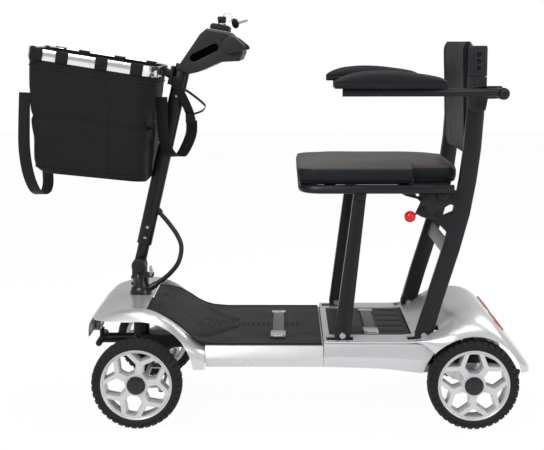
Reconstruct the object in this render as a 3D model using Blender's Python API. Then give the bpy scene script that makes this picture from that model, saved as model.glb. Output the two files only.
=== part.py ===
"""Folding four-wheel mobility scooter, modelled as a jointed assembly.

Metres, +Z up, +X to the rear, -Y on the rider's left, ground at z = 0.
The front group hangs on the front axle, the seat and rear group on the rear axle.
"""
import math

import bmesh
import bpy
from mathutils import Matrix, Vector

# Driving sizes of the chassis
FRONT_AXLE_X = -0.307
WHEELBASE = 0.740
WHEEL_D = 0.200
TYRE_WIDTH = 0.050
TRACK = 0.440
BODY_HALF = 0.220
DECK_Z = 0.186
BELLY_Z = 0.130
PANEL_WALL = 0.003
MAT_T = 0.004
FIT = 0.0004
SEAM = 0.0006

# Driving sizes of the seat linkage
LEG_HALF_Y = 0.180
LEG_T = 0.025
FRONT_LEG_W = 0.035
POST_W = 0.038
LINK_BASE = 0.180
LEG_RISE = 0.316
LEG_LEAN = 0.0367
SEAT_LENGTH = 0.352
SEAT_HALF = 0.205
CUSHION_T = 0.040
BACK_TOP = 0.845
ARM_HALF_Y = 0.2725
ARM_LENGTH = 0.345

# Driving sizes of the tiller
TILLER_LEAN = math.radians(13.2)
STEM_LENGTH = 0.396
STEM_W = 0.034
STEM_T = 0.030
COLUMN_D = 0.039
KINGPIN_Y = 0.178
STEER_ARM = 0.050
HEAD_HALF = 0.140
BASKET_HALF = 0.150
BASKET_LENGTH = 0.284
BASKET_DEPTH = 0.238
BASKET_TILT = math.radians(9.0)

# Places worked out from the driving sizes
XF = FRONT_AXLE_X
XR = FRONT_AXLE_X + WHEELBASE
AXLE_Z = WHEEL_D / 2
WHEEL_Y = TRACK / 2
WHEEL_IN = WHEEL_Y - TYRE_WIDTH / 2
WHEEL_OUT = WHEEL_Y + TYRE_WIDTH / 2
SEAM_F = XF + 0.150
SEAM_R = XR - 0.328
COLUMN_X = XF - 0.014
HINGE = Vector((XF - 0.016, 0.0, 0.3275))
PIVOT_A = Vector((XR - 0.106 - LINK_BASE, 0.0, 0.2005))
PIVOT_D = Vector((XR - 0.106, 0.0, 0.2005))
LEG = Vector((LEG_LEAN, 0.0, LEG_RISE))
PIVOT_B = PIVOT_A + LEG
PIVOT_C = PIVOT_D + LEG
PAN_TOP = DECK_Z - MAT_T
FLOOR_Z = BELLY_Z + PANEL_WALL
RAIL_Z = FLOOR_Z + FIT
RAIL_H = 0.030
RAIL_Y = 0.160
RAIL_W = 0.020

# Facets of round pieces, from wheels down to the smallest pins
WHEEL_SIDES = 24
WIDE_SIDES = 14
PIN_SIDES = 10
SMALL_SIDES = 8

for old in list(bpy.data.objects):
    bpy.data.objects.remove(old, do_unlink=True)


# Materials

def paint(name, colour, roughness, metallic=0.0):
    material = bpy.data.materials.new(name)
    material.use_nodes = True
    shader = material.node_tree.nodes["Principled BSDF"]
    shader.inputs["Base Color"].default_value = (*colour, 1.0)
    shader.inputs["Roughness"].default_value = roughness
    shader.inputs["Metallic"].default_value = metallic
    return material


SILVER = paint("silver_paint", (0.58, 0.58, 0.60), 0.32, 0.55)
BLACK = paint("black_satin_frame", (0.020, 0.021, 0.024), 0.38, 0.2)
PLASTIC = paint("black_plastic", (0.028, 0.029, 0.032), 0.55)
RUBBER = paint("rubber", (0.022, 0.022, 0.023), 0.8)
VINYL = paint("seat_vinyl", (0.035, 0.033, 0.033), 0.5)
NYLON = paint("black_nylon", (0.014, 0.014, 0.016), 0.85)
ALUMINIUM = paint("polished_aluminium", (0.80, 0.81, 0.82), 0.22, 1.0)
RIM_GREY = paint("wheel_silver", (0.62, 0.63, 0.64), 0.35, 0.3)
STEEL = paint("zinc_steel", (0.45, 0.46, 0.47), 0.4, 0.9)
RED = paint("red_plastic", (0.62, 0.012, 0.016), 0.25)


# Solid helpers

def new_object(name, mesh):
    item = bpy.data.objects.new(name, mesh)
    bpy.context.scene.collection.objects.link(item)
    return item


def is_bent(face):
    """True for a face whose corners don't lie in one plane."""
    centre = face.calc_center_median()
    return any(abs((vert.co - centre).dot(face.normal)) > 1e-6 for vert in face.verts)


def from_bmesh(shape, name="solid"):
    bmesh.ops.recalc_face_normals(shape, faces=shape.faces)
    bmesh.ops.triangulate(shape, faces=[face for face in shape.faces if is_bent(face)])
    mesh = bpy.data.meshes.new(name)
    shape.to_mesh(mesh)
    shape.free()
    return new_object(name, mesh)


def loft(rings, closed=False):
    """Solid through rings of equal point count, capped at both ends unless closed."""
    shape = bmesh.new()
    rows = [[shape.verts.new(point) for point in ring] for ring in rings]
    count = len(rows[0])
    steps = len(rows) if closed else len(rows) - 1
    for step in range(steps):
        here = rows[step]
        there = rows[(step + 1) % len(rows)]
        for k in range(count):
            n = (k + 1) % count
            shape.faces.new((here[k], here[n], there[n], there[k]))
    if not closed:
        shape.faces.new(rows[0])
        shape.faces.new(rows[-1])
    return from_bmesh(shape)


def box(x0, x1, y0, y1, z0, z1):
    ring = [(x0, y0), (x1, y0), (x1, y1), (x0, y1)]
    return loft([[(x, y, z) for x, y in ring] for z in (z0, z1)])


def side_plate(outline, y0, y1):
    """Outline of (x, z) points made into a plate from y0 to y1."""
    return loft([[(x, y, z) for x, z in outline] for y in (y0, y1)])


def plan_plate(outline, z0, z1):
    """Outline of (x, y) points made into a plate from z0 to z1."""
    return loft([[(x, y, z) for x, y in outline] for z in (z0, z1)])


def frame_of(direction):
    """Two unit vectors square to a direction."""
    ahead = Vector(direction).normalized()
    guide = Vector((0, 1, 0)) if abs(ahead.y) < 0.9 else Vector((1, 0, 0))
    across = guide.cross(ahead).normalized()
    return across, ahead.cross(across)


def rod(start, end, radius, sides=PIN_SIDES):
    start = Vector(start)
    end = Vector(end)
    across, up = frame_of(end - start)
    turns = [2 * math.pi * k / sides for k in range(sides)]
    rings = []
    for centre in (start, end):
        rings.append([centre + across * (radius * math.cos(t)) + up * (radius * math.sin(t)) for t in turns])
    return loft(rings)


def running_hole(start, end, radius, sides=PIN_SIDES):
    """Cutter whose flats clear a round pin of the given radius by the running fit."""
    return rod(start, end, (radius + FIT) / math.cos(math.pi / sides), sides)


def revolve(profile, centre, axis, sides=WIDE_SIDES, closed=False, turn=0.0):
    """Turn (radius, along) points round an axis; a closed profile makes a ring."""
    across, up = frame_of(axis)
    ahead = Vector(axis).normalized()
    centre = Vector(centre)
    rings = []
    for radius, along in profile:
        turns = [turn + 2 * math.pi * k / sides for k in range(sides)]
        rings.append([
            centre + ahead * along + across * (radius * math.cos(t)) + up * (radius * math.sin(t))
            for t in turns
        ])
    return loft(rings, closed)


def sweep(path, outline, guide=(0, 1, 0), closed=False):
    """Carry an outline of (side, up) points along a path with mitred corners."""
    points = [Vector(p) for p in path]
    guide = Vector(guide)
    rings = []
    count = len(points)
    for k, point in enumerate(points):
        before = points[k - 1] if k or closed else None
        after = points[(k + 1) % count] if k < count - 1 or closed else None
        into = (point - before).normalized() if before is not None else (after - point).normalized()
        out = (after - point).normalized() if after is not None else into
        ahead = (into + out).normalized()
        across = guide - ahead * guide.dot(ahead)
        across.normalize()
        up = ahead.cross(across)
        stretch = 1 / max(0.35, into.dot(ahead))
        turning = (out - into)
        bend = turning.normalized() if turning.length > 1e-6 else None
        ring = []
        for side, rise in outline:
            offset = across * side + up * rise
            if bend is not None:
                offset += bend * (offset.dot(bend) * (stretch - 1))
            ring.append(point + offset)
        rings.append(ring)
    return loft(rings, closed)


def oval(width, height, corner, steps=3):
    """Rounded rectangle of (side, up) points."""
    points = []
    quarter = ((1, 1, 0), (-1, 1, 90), (-1, -1, 180), (1, -1, 270))
    for sx, sy, start in quarter:
        cx = sx * (width / 2 - corner)
        cy = sy * (height / 2 - corner)
        for k in range(steps + 1):
            t = math.radians(start + 90 * k / steps)
            points.append((cx + corner * math.cos(t), cy + corner * math.sin(t)))
    return points


def ring_outline(radius, sides=12):
    turns = [2 * math.pi * k / sides for k in range(sides)]
    return [(radius * math.cos(t), radius * math.sin(t)) for t in turns]


def arc(cx, cz, radius, start, end, steps):
    """Points (x, z) along an arc, angles in degrees."""
    points = []
    for k in range(steps + 1):
        t = math.radians(start + (end - start) * k / steps)
        points.append((cx + radius * math.cos(t), cz + radius * math.sin(t)))
    return points


def boolean(base, tool, operation):
    modifier = base.modifiers.new(operation.lower(), "BOOLEAN")
    modifier.operation = operation
    modifier.solver = "EXACT"
    modifier.object = tool
    graph = bpy.context.evaluated_depsgraph_get()
    mesh = bpy.data.meshes.new_from_object(base.evaluated_get(graph))
    base.modifiers.remove(modifier)
    base.data = mesh
    bpy.data.objects.remove(tool, do_unlink=True)
    return base


def fuse(base, *others):
    for other in others:
        base = boolean(base, other, "UNION")
    return base


def cut(base, *tools):
    for tool in tools:
        base = boolean(base, tool, "DIFFERENCE")
    return base


def node(name, item, material, pivot=(0, 0, 0), bevel=0.0):
    """Name a finished solid, put its origin on its joint and give it its material."""
    pivot = Vector(pivot)
    if bevel:
        edge = item.modifiers.new("edge", "BEVEL")
        edge.width = bevel
        edge.segments = 1
        edge.limit_method = "ANGLE"
        edge.angle_limit = math.radians(50)
    item.data.transform(Matrix.Translation(-pivot))
    item.location = pivot
    item.name = name
    item.data.name = name
    item.data.materials.clear()
    item.data.materials.append(material)
    item.data.shade_smooth()
    item.data.set_sharp_from_angle(angle=math.radians(40))
    return item


# Body shells

def shell_ring(x, half, top, bottom, power, steps=6):
    """Cross-section of a fairing: a flat-topped arch from one lower edge to the other."""
    points = []
    for k in range(2 * steps + 1):
        t = math.pi * k / (2 * steps)
        c = math.cos(t)
        s = math.sin(t)
        y = -half * math.copysign(abs(c) ** (2 / power), c)
        points.append((x, y, bottom + (top - bottom) * abs(s) ** (2 / power)))
    return points


def shell(stations, wall, front_wall, rear_wall, power=5.0):
    """Open-bottomed skin through stations of (x, half width, top, bottom)."""
    outer = loft([shell_ring(x, half, top, low, power) for x, half, top, low in stations])
    inner = []
    last = len(stations) - 1
    for k, (x, half, top, low) in enumerate(stations):
        shift = 0.0
        if k == 0:
            shift = wall if front_wall else -wall
        if k == last:
            shift = -wall if rear_wall else wall
        inner.append(shell_ring(x + shift, half - wall, top - wall, low - wall, power))
    return cut(outer, loft(inner))


def side_slice(x, half, top, bottom, crease):
    """Closed cross-section of the floor body: flat top, convex sides, flat belly."""
    middle = (top + bottom) / 2
    tuck = 0.020
    right = [(half - 0.026, bottom), (half - tuck, bottom + 0.004), (half, middle),
             (half - crease, top - 0.003)]
    right.append((half - crease - 0.004, top))
    left = [(-y, z) for y, z in reversed(right)]
    return [(x, y, z) for y, z in right + left]


ARCH_F = 0.125
ARCH_F_Z = 0.113
ARCH_R = 0.109
ARCH_IN = 0.142
PANEL_CREASE = 0.012


def front_stations():
    """The nose, the fender crowns and the run down to the floor seam, from the front axle."""
    end = SEAM_F - SEAM / 2
    return [
        (XF - 0.120, 0.120, 0.206, 0.180),
        (XF - 0.113, 0.176, 0.226, 0.168),
        (XF - 0.096, WHEEL_OUT - 0.022, 0.243, 0.150),
        (XF - 0.060, WHEEL_OUT - 0.006, 0.254, BELLY_Z),
        (XF - 0.014, WHEEL_OUT - 0.002, 0.2585, BELLY_Z),
        (XF + 0.030, WHEEL_OUT - 0.004, 0.252, BELLY_Z),
        (XF + 0.070, WHEEL_OUT - 0.010, 0.234, BELLY_Z),
        (XF + 0.105, BODY_HALF + 0.006, 0.208, BELLY_Z),
        (XF + 0.132, BODY_HALF + 0.001, DECK_Z + 0.003, BELLY_Z),
        (end, BODY_HALF, PAN_TOP, BELLY_Z),
    ]


def wheel_arch(x, z, radius, y_in, y_out, forward):
    """Cutter that opens a wheel arch on both sides."""
    tools = []
    for side in (-1, 1):
        drum = rod((x, side * y_in, z), (x, side * y_out, z), radius, WHEEL_SIDES)
        if forward:
            low, high = sorted((side * y_in, side * y_out))
            drum = fuse(drum, box(x - 0.2, x, low, high, -0.05, z + radius - 0.0006))
        tools.append(drum)
    return tools


def mat_profile(lift):
    """Top line of the floor, from the column foot back to the battery: (x, z) points."""
    rise = [(0.016, 0.0640), (0.051, 0.0580), (0.086, 0.0400), (0.116, 0.0170), (0.141, 0.0045), (0.181, 0.0)]
    points = [(XF + dx, DECK_Z + dz + lift) for dx, dz in rise]
    points.append((SEAM_R - 0.004, DECK_Z + lift))
    return points


def front_fairing():
    skin = shell(front_stations(), PANEL_WALL, True, False)
    skin = cut(skin, *wheel_arch(XF, ARCH_F_Z, ARCH_F, ARCH_IN, 0.30, True))
    top = mat_profile(-MAT_T)
    ramp_half = 0.150
    tray = [(x, z) for x, z in top[:5]] + [(SEAM_F - SEAM / 2, PAN_TOP)]
    above = tray + [(SEAM_F - SEAM / 2, 0.30), (tray[0][0], 0.30)]
    skin = cut(skin, side_plate(above, -ramp_half - 0.03, ramp_half + 0.03))
    pan = tray + [(x, z - PANEL_WALL) for x, z in reversed(tray)]
    skin = fuse(skin, side_plate(pan, -ramp_half - 0.031, ramp_half + 0.031))
    skin = cut(skin, rod((COLUMN_X, 0, 0.17), (COLUMN_X, 0, 0.30), BOOT_R + 0.0015, WIDE_SIDES))
    lamp = box(XF - 0.2, LAMP_BACK, -LAMP_HALF, LAMP_HALF, LAMP_LOW, LAMP_TOP)
    return cut(skin, lamp)


BOOT_R = 0.026
LAMP_HALF = 0.052
LAMP_LOW = 0.1795
LAMP_TOP = 0.2035
LAMP_BACK = XF - 0.104
node("front_fairing", front_fairing(), SILVER)


def headlight():
    gap = FIT
    outline = [
        (LAMP_BACK - gap, -LAMP_HALF + gap), (XF - 0.1205, -LAMP_HALF + gap), (XF - 0.126, -LAMP_HALF * 0.55),
        (XF - 0.126, LAMP_HALF * 0.55), (XF - 0.1205, LAMP_HALF - gap), (LAMP_BACK - gap, LAMP_HALF - gap),
    ]
    lens = plan_plate(outline, LAMP_LOW + gap, LAMP_TOP - gap)
    groove = box(XF - 0.2, XF - 0.1235, -LAMP_HALF, LAMP_HALF, LAMP_LOW + 0.010, LAMP_LOW + 0.014)
    return cut(lens, groove)


node("headlight", headlight(), PLASTIC, bevel=0.0008)


def mid_body():
    """Hollow floor body between the two seams."""
    start = SEAM_F + SEAM / 2
    end = SEAM_R - SEAM / 2
    outer = loft([side_slice(x, BODY_HALF, PAN_TOP, BELLY_Z, PANEL_CREASE) for x in (start, end)])
    wall = PANEL_WALL
    inner = loft([
        side_slice(x, BODY_HALF - wall, PAN_TOP - wall, BELLY_Z + wall, PANEL_CREASE)
        for x in (start - 0.01, end + 0.01)
    ])
    return cut(outer, inner)


node("mid_body", mid_body(), SILVER)


def deck_mat():
    half = 0.204
    top = mat_profile(0.0)
    under = mat_profile(-MAT_T + FIT)
    mat = side_plate(top + list(reversed(under)), -half, half)
    for side in (-1, 1):
        corner = [(XF, side * 0.146), (XF + 0.10, side * 0.178), (XF + 0.135, side * half),
                  (XF + 0.135, side * 0.3), (XF, side * 0.3)]
        mat = cut(mat, plan_plate(corner, 0.15, 0.30))
    foot = rod((COLUMN_X, 0, 0.2), (COLUMN_X, 0, 0.3), BOOT_R + 0.006, WIDE_SIDES)
    return cut(mat, foot)


node("deck_mat", deck_mat(), RUBBER)

STRAP_W = 0.028
STRAP_T = 0.0022
CLIP_T = 0.0042


def strap(x, base, y0, y1):
    """Webbing band with a metal clip at each end and a slack crown."""
    low = base + FIT
    band = side_plate([(x - STRAP_W / 2, low), (x + STRAP_W / 2, low), (x + STRAP_W / 2, low + STRAP_T),
                       (x - STRAP_W / 2, low + STRAP_T)], y0, y1)
    for end, inward in ((y0, 1), (y1, -1)):
        edge = sorted((end - inward * 0.004, end + inward * 0.018))
        clip = box(x - STRAP_W / 2 - 0.003, x + STRAP_W / 2 + 0.003, edge[0], edge[1], low, low + CLIP_T)
        band = fuse(band, clip)
    return band


DECK_STRAP_X = SEAM_R - 0.101
node("deck_strap", strap(DECK_STRAP_X, DECK_Z, -0.148, 0.116), NYLON)


# Rear tub and cover

SPLIT_Z = 0.187
TUB_END = XR - 0.078
WELL_X0 = SEAM_R + 0.014
WELL_X1 = SEAM_R + 0.1995
WELL_HALF = 0.1447


def rear_tub():
    """Open tray with convex sides, cut by the wheel arches."""
    start = SEAM_R + SEAM / 2
    low = BELLY_Z - 0.014
    rows = [(start, BELLY_Z), (XR - 0.200, BELLY_Z - 0.004), (XR - 0.110, low), (TUB_END, low)]
    outer = loft([side_slice(x, BODY_HALF, SPLIT_Z, z, PANEL_CREASE - 0.006) for x, z in rows])
    wall = PANEL_WALL
    crease = PANEL_CREASE - 0.006
    inner = [side_slice(x, BODY_HALF - wall, SPLIT_Z - wall, FLOOR_Z, crease) for x in (start - 0.01,
                                                                                        TUB_END - wall)]
    tub = cut(outer, loft(inner))
    mouth = BODY_HALF - crease - 0.0105
    tub = cut(tub, box(start - 0.01, TUB_END + 0.01, -mouth, mouth, SPLIT_Z - wall - 0.002, 0.25))
    tub = cut(tub, *wheel_arch(XR, AXLE_Z, ARCH_R, WHEEL_IN - 0.010, 0.30, False))
    for side in (-1, 1):
        rail = box(TUB_END - 0.02, TUB_END + 0.02, side * RAIL_Y - RAIL_W / 2 - 0.002,
                   side * RAIL_Y + RAIL_W / 2 + 0.002, RAIL_Z - 0.0002, 0.30)
        tub = cut(tub, rail)
    return tub


node("rear_tub", rear_tub(), SILVER)


def rear_stations():
    """Rim round the battery, the rise over the wheels and the sloping tail, from the rear axle."""
    low = SPLIT_Z + SEAM
    lip = low + 0.0045
    full = WHEEL_OUT + 0.001
    return [
        (SEAM_R + SEAM / 2, BODY_HALF - 0.0098, lip, low, 9.0),
        (XR - 0.150, BODY_HALF - 0.0095, lip, low, 9.0),
        (XR - 0.112, BODY_HALF - 0.004, 0.1975, low, 7.0),
        (XR - 0.080, BODY_HALF + 0.012, 0.219, 0.165, 5.0),
        (XR - 0.045, full - 0.002, 0.239, 0.140, 5.0),
        (XR + 0.005, full, 0.2475, 0.110, 5.0),
        (XR + 0.042, full - 0.001, 0.236, 0.100, 5.0),
        (XR + 0.072, full - 0.006, 0.208, 0.100, 5.0),
        (XR + 0.105, full - 0.018, 0.166, 0.096, 5.0),
        (XR + 0.132, full - 0.042, 0.124, 0.093, 4.0),
        (XR + 0.141, full - 0.070, 0.106, 0.091, 4.0),
    ]


def rear_cover():
    rows = rear_stations()
    outer = loft([shell_ring(*row) for row in rows])
    wall = PANEL_WALL
    inner = []
    last = len(rows) - 1
    for k, (x, half, top, low, power) in enumerate(rows):
        dx = -wall if k in (0, last) else 0.0
        inner.append(shell_ring(x + dx, half - wall, top - wall, low - wall, power))
    cover = cut(outer, loft(inner))
    cover = cut(cover, *wheel_arch(XR, AXLE_Z, ARCH_R, WHEEL_IN - 0.010, 0.30, False))
    cover = cut(cover, box(WELL_X0, WELL_X1, -WELL_HALF, WELL_HALF, 0.15, 0.30))
    for pivot, reach in ((PIVOT_A, 0.024), (PIVOT_D, 0.032)):
        for side in (-1, 1):
            y = side * LEG_HALF_Y
            half = LEG_T / 2 + 0.0025
            cover = cut(cover, box(pivot.x - 0.036, pivot.x + reach, y - half, y + half, 0.15, 0.30))
    for side in (-1, 1):
        low, high = sorted((side * LIGHT_Y0, side * LIGHT_Y1))
        cover = cut(cover, light_block(low, high, 0.0))
    return cover


LIGHT_Y0 = 0.034
LIGHT_Y1 = 0.142
LIGHT_X = XR + 0.066
LIGHT_Z = 0.2085


def light_block(low, high, inset):
    """Slanting bar across the tail, used for the lamp and, with no inset, for its pocket."""
    along = Vector((0.030, -0.040)).normalized()
    out = Vector((0.040, 0.030)).normalized()
    centre = Vector((LIGHT_X, LIGHT_Z))
    long = 0.014 - inset
    deep = 0.006
    corners = ((-1, -1), (1, -1), (1, 1), (-1, 1))
    outline = []
    for a, b in corners:
        point = centre + along * (a * long) + out * (b * deep + (0.0008 if inset and b < 0 else 0.0))
        outline.append((point.x, point.y))
    return side_plate(outline, low + inset, high - inset)


node("rear_cover", rear_cover(), SILVER)
for label, side in (("left", -1), ("right", 1)):
    y_low, y_high = sorted((side * LIGHT_Y0, side * LIGHT_Y1))
    node("tail_light_" + label, light_block(y_low, y_high, FIT), RED, bevel=0.0012)


# Chassis under the shells

EAR_T = 0.008
PIN_R = 0.005
BEAM_HALF_Z = 0.014
KING_R = 0.006
BOSS_R = 0.010
HEAD_TUBE_R = 0.019
SHAFT_R = 0.0128
HEAD_TUBE_TOP = 0.232
ARM_T = 0.005
ARM_TOP = AXLE_Z - BEAM_HALF_Z - 0.0013


def ear(pivot, side):
    """Upright tongue on a rail that carries a seat leg's pin."""
    y = side * LEG_HALF_Y
    top = arc(pivot.x, pivot.z, 0.013, 0, 180, 8)
    outline = top + [(pivot.x - 0.013, RAIL_Z + 0.006), (pivot.x + 0.013, RAIL_Z + 0.006)]
    plate = side_plate(outline, y - EAR_T / 2, y + EAR_T / 2)
    low, high = sorted((side * RAIL_Y, y))
    step = box(pivot.x - 0.012, pivot.x + 0.012, low, high, RAIL_Z + 0.008, RAIL_Z + RAIL_H - 0.002)
    hole = running_hole((pivot.x, y - 0.03, pivot.z), (pivot.x, y + 0.03, pivot.z), PIN_R, PIN_SIDES)
    return fuse(plate, step), hole


def main_frame():
    top = RAIL_Z + RAIL_H
    frame = box(XF + 0.138, XF + 0.168, -RAIL_Y - RAIL_W / 2, RAIL_Y + RAIL_W / 2, RAIL_Z, top)
    for side in (-1, 1):
        y = side * RAIL_Y
        rail = box(XF + 0.150, XR + 0.028, y - RAIL_W / 2, y + RAIL_W / 2, RAIL_Z + 0.0001, top - 0.0001)
        tail = rod((XR + 0.010, y, RAIL_Z + 0.015), (XR + 0.112, y, 0.108), 0.0075, SMALL_SIDES)
        frame = fuse(frame, rail, tail)
    for x in (SEAM_R - 0.020, XR - 0.098):
        frame = fuse(frame, box(x - 0.009, x + 0.009, -RAIL_Y, RAIL_Y, RAIL_Z + 0.0002, top - 0.004))
    frame = fuse(frame, box(COLUMN_X, XF + 0.150, -0.028, 0.028, RAIL_Z + 0.0003, top - 0.0005))
    beam = box(XF - 0.014, XF + 0.014, -KINGPIN_Y + 0.008, KINGPIN_Y - 0.008, AXLE_Z - BEAM_HALF_Z,
               AXLE_Z + BEAM_HALF_Z)
    gusset = side_plate([(XF - 0.012, AXLE_Z), (XF + 0.012, AXLE_Z), (XF + 0.075, RAIL_Z + 0.004),
                         (XF - 0.012, RAIL_Z + 0.004)], -0.019, 0.019)
    tube = rod((COLUMN_X, 0, AXLE_Z - BEAM_HALF_Z - 0.0005), (COLUMN_X, 0, HEAD_TUBE_TOP), HEAD_TUBE_R,
               WIDE_SIDES)
    frame = fuse(frame, beam, gusset, tube)
    holes = [running_hole((COLUMN_X, 0, 0.05), (COLUMN_X, 0, 0.25), SHAFT_R, WIDE_SIDES)]
    for side in (-1, 1):
        y = side * KINGPIN_Y
        boss = rod((XF, y, AXLE_Z - BEAM_HALF_Z - 0.0005), (XF, y, AXLE_Z + BEAM_HALF_Z + 0.0005), BOSS_R,
                   PIN_SIDES)
        frame = fuse(frame, boss)
        holes.append(running_hole((XF, y, 0.05), (XF, y, 0.15), KING_R, PIN_SIDES))
        for pivot in (PIVOT_A, PIVOT_D):
            plate, hole = ear(pivot, side)
            frame = fuse(frame, plate)
            holes.append(hole)
    bumper = rod((XF - 0.108, -0.058, 0.150), (XF - 0.108, 0.058, 0.150), 0.0075, SMALL_SIDES)
    frame = fuse(frame, bumper)
    for side in (-1, 1):
        y = side * 0.024
        frame = fuse(frame, rod((COLUMN_X + 0.006, y, 0.150), (XF - 0.108, y, 0.150), 0.0065, SMALL_SIDES))
    stay = rod((XF - 0.108, 0, 0.150), (XF - 0.108, 0, LAMP_LOW - 0.004), 0.006, SMALL_SIDES)
    frame = fuse(frame, stay)
    return cut(frame, *holes)


node("main_frame", main_frame(), BLACK)


def controller_box():
    low = FLOOR_Z + FIT
    x0 = SEAM_F + 0.040
    body = box(x0, x0 + 0.110, -0.065, 0.065, low, low + 0.030)
    for k in range(8):
        y = -0.052 + k * 0.0148
        body = cut(body, box(x0 - 0.01, x0 + 0.13, y - 0.003, y + 0.003, low + 0.020, low + 0.05))
    return body


node("controller_box", controller_box(), PLASTIC)

BATTERY_TOP = SPLIT_Z + 0.0035


def battery_pack():
    gap = 0.001
    low = FLOOR_Z + FIT
    x0 = WELL_X0 + gap
    x1 = WELL_X1 - gap
    half = WELL_HALF - gap
    body = box(x0 + 0.003, x1 - 0.003, -half + 0.003, half - 0.003, low, BATTERY_TOP - 0.004)
    lid = loft([
        [(x, y, z) for x, y in ((x0 + e, -half + e), (x1 - e, -half + e), (x1 - e, half - e),
                                (x0 + e, half - e))]
        for e, z in ((0.0, BATTERY_TOP - 0.006), (0.0, BATTERY_TOP - 0.0015), (0.0015, BATTERY_TOP))
    ])
    pack = fuse(body, lid)
    for k in range(5):
        y = -0.112 + k * 0.056
        pack = cut(pack, box(x0 + 0.114, x1 - 0.012, y - 0.012, y + 0.012, BATTERY_TOP - 0.0008, 0.25))
    return pack


node("battery_pack", battery_pack(), PLASTIC)
BATTERY_STRAP_X = WELL_X0 + 0.096
node("battery_strap", strap(BATTERY_STRAP_X, BATTERY_TOP, -0.136, 0.116), NYLON)

AXLE_R = 0.008
HOUSING_END = WHEEL_IN - 0.023


def transaxle():
    """Drive axle: tube, differential bowl, motor can and the two rail brackets."""
    tube = rod((XR, -HOUSING_END, AXLE_Z), (XR, HOUSING_END, AXLE_Z), 0.021, WIDE_SIDES)
    bowl = revolve([(0.024, -0.046), (0.040, -0.034), (0.046, -0.010), (0.046, 0.014), (0.038, 0.034),
                    (0.024, 0.044)], (XR, -0.02, AXLE_Z), (0, 1, 0), WIDE_SIDES)
    motor = revolve([(0.024, -0.002), (0.034, 0.004), (0.034, 0.096), (0.028, 0.104)],
                    (XR + 0.058, -0.02, AXLE_Z + 0.030), (0, 1, 0), WIDE_SIDES)
    neck = side_plate([(XR, AXLE_Z - 0.030), (XR + 0.058, AXLE_Z + 0.002), (XR + 0.058, AXLE_Z + 0.058),
                       (XR, AXLE_Z + 0.040)], -0.045, -0.012)
    unit = fuse(tube, bowl, neck, motor)
    for side in (-1, 1):
        y = side * (RAIL_Y - 0.002)
        unit = fuse(unit, box(XR - 0.017, XR + 0.017, y - 0.009, y + 0.009, AXLE_Z, RAIL_Z - FIT))
    for side in (-1, 1):
        inner, outer = sorted((side * 0.13, side * 0.25))
        unit = cut(unit, running_hole((XR, inner, AXLE_Z), (XR, outer, AXLE_Z), AXLE_R, PIN_SIDES))
    return unit


node("transaxle", transaxle(), STEEL)


# Steering

def steer_arm(x, y, y_half=0.0085):
    """Flat arm that points back from an upright pin, with a hole for the tie rod."""
    end = arc(x + STEER_ARM, y, y_half, -90, 90, 8)
    start = arc(x, y, y_half + 0.002, 90, 270, 8)
    plate = plan_plate(end + start, ARM_TOP - ARM_T, ARM_TOP)
    hole = running_hole((x + STEER_ARM, y, 0.05), (x + STEER_ARM, y, 0.11), TIE_PIN_R, SMALL_SIDES)
    return cut(plate, hole)


TIE_PIN_R = 0.004


def knuckle(side):
    y = side * KINGPIN_Y
    lug = AXLE_Z + BEAM_HALF_Z + 0.0010
    low = ARM_TOP - ARM_T
    high = lug + 0.0055
    inner, outer = sorted((side * (KINGPIN_Y - 0.010), side * (WHEEL_IN - 0.0006)))
    face_in, face_out = sorted((side * (KINGPIN_Y + BOSS_R + 0.0006), side * (WHEEL_IN - 0.0006)))
    body = box(XF - 0.0105, XF + 0.0105, face_in, face_out, low, high)
    body = fuse(body, box(XF - 0.0104, XF + 0.0104, inner, outer, lug, high - 0.0001))
    body = fuse(body, box(XF - 0.0104, XF + 0.0104, inner, outer, low + 0.0001, ARM_TOP))
    body = fuse(body, rod((XF, y, low + 0.0005), (XF, y, high - 0.0005), KING_R, PIN_SIDES))
    body = fuse(body, steer_arm(XF, y))
    stub = rod((XF, side * (WHEEL_IN - 0.003), AXLE_Z), (XF, side * (WHEEL_Y + 0.0185), AXLE_Z), AXLE_R,
               PIN_SIDES)
    return fuse(body, stub)


for label, side in (("left", -1), ("right", 1)):
    node("knuckle_" + label, knuckle(side), STEEL, (XF, side * KINGPIN_Y, AXLE_Z))


def tie_rod():
    x = XF + STEER_ARM
    top = ARM_TOP - ARM_T - 0.0005
    low = top - 0.010
    z = (top + low) / 2
    bar = rod((x, -KINGPIN_Y, z), (x, KINGPIN_Y, z), 0.0045, SMALL_SIDES)
    mid = COLUMN_X + STEER_ARM
    tab = [(x + 0.006, -0.016), (x + 0.006, 0.016), (mid, 0.0085)] + \
        [(mid - 0.0085, 0.004), (mid - 0.0085, -0.004), (mid, -0.0085)]
    bar = fuse(bar, plan_plate(tab, low + 0.001, top))
    for px, py in ((x, -KINGPIN_Y), (x, KINGPIN_Y), (mid, 0.0)):
        if py:
            bar = fuse(bar, rod((px, py, low), (px, py, top - 0.0001), 0.0085, PIN_SIDES))
        bar = fuse(bar, rod((px, py, low + 0.002), (px, py, ARM_TOP + 0.002), TIE_PIN_R, SMALL_SIDES))
    return bar


node("tie_rod", tie_rod(), STEEL, (COLUMN_X + STEER_ARM, 0, ARM_TOP))

BOOT_LOW = HEAD_TUBE_TOP + 0.0006
COLUMN_TOP = 0.307
CHEEK_R = 0.0165
CHEEK_Y = 0.0105
CHEEK_T = 0.0065
GLAND = Vector((XF + 0.0225, 0.0, 0.2800))
GLAND_OUT = Vector((0.82, 0.0, 0.57)).normalized()
GLAND_R = 0.0078


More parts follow.
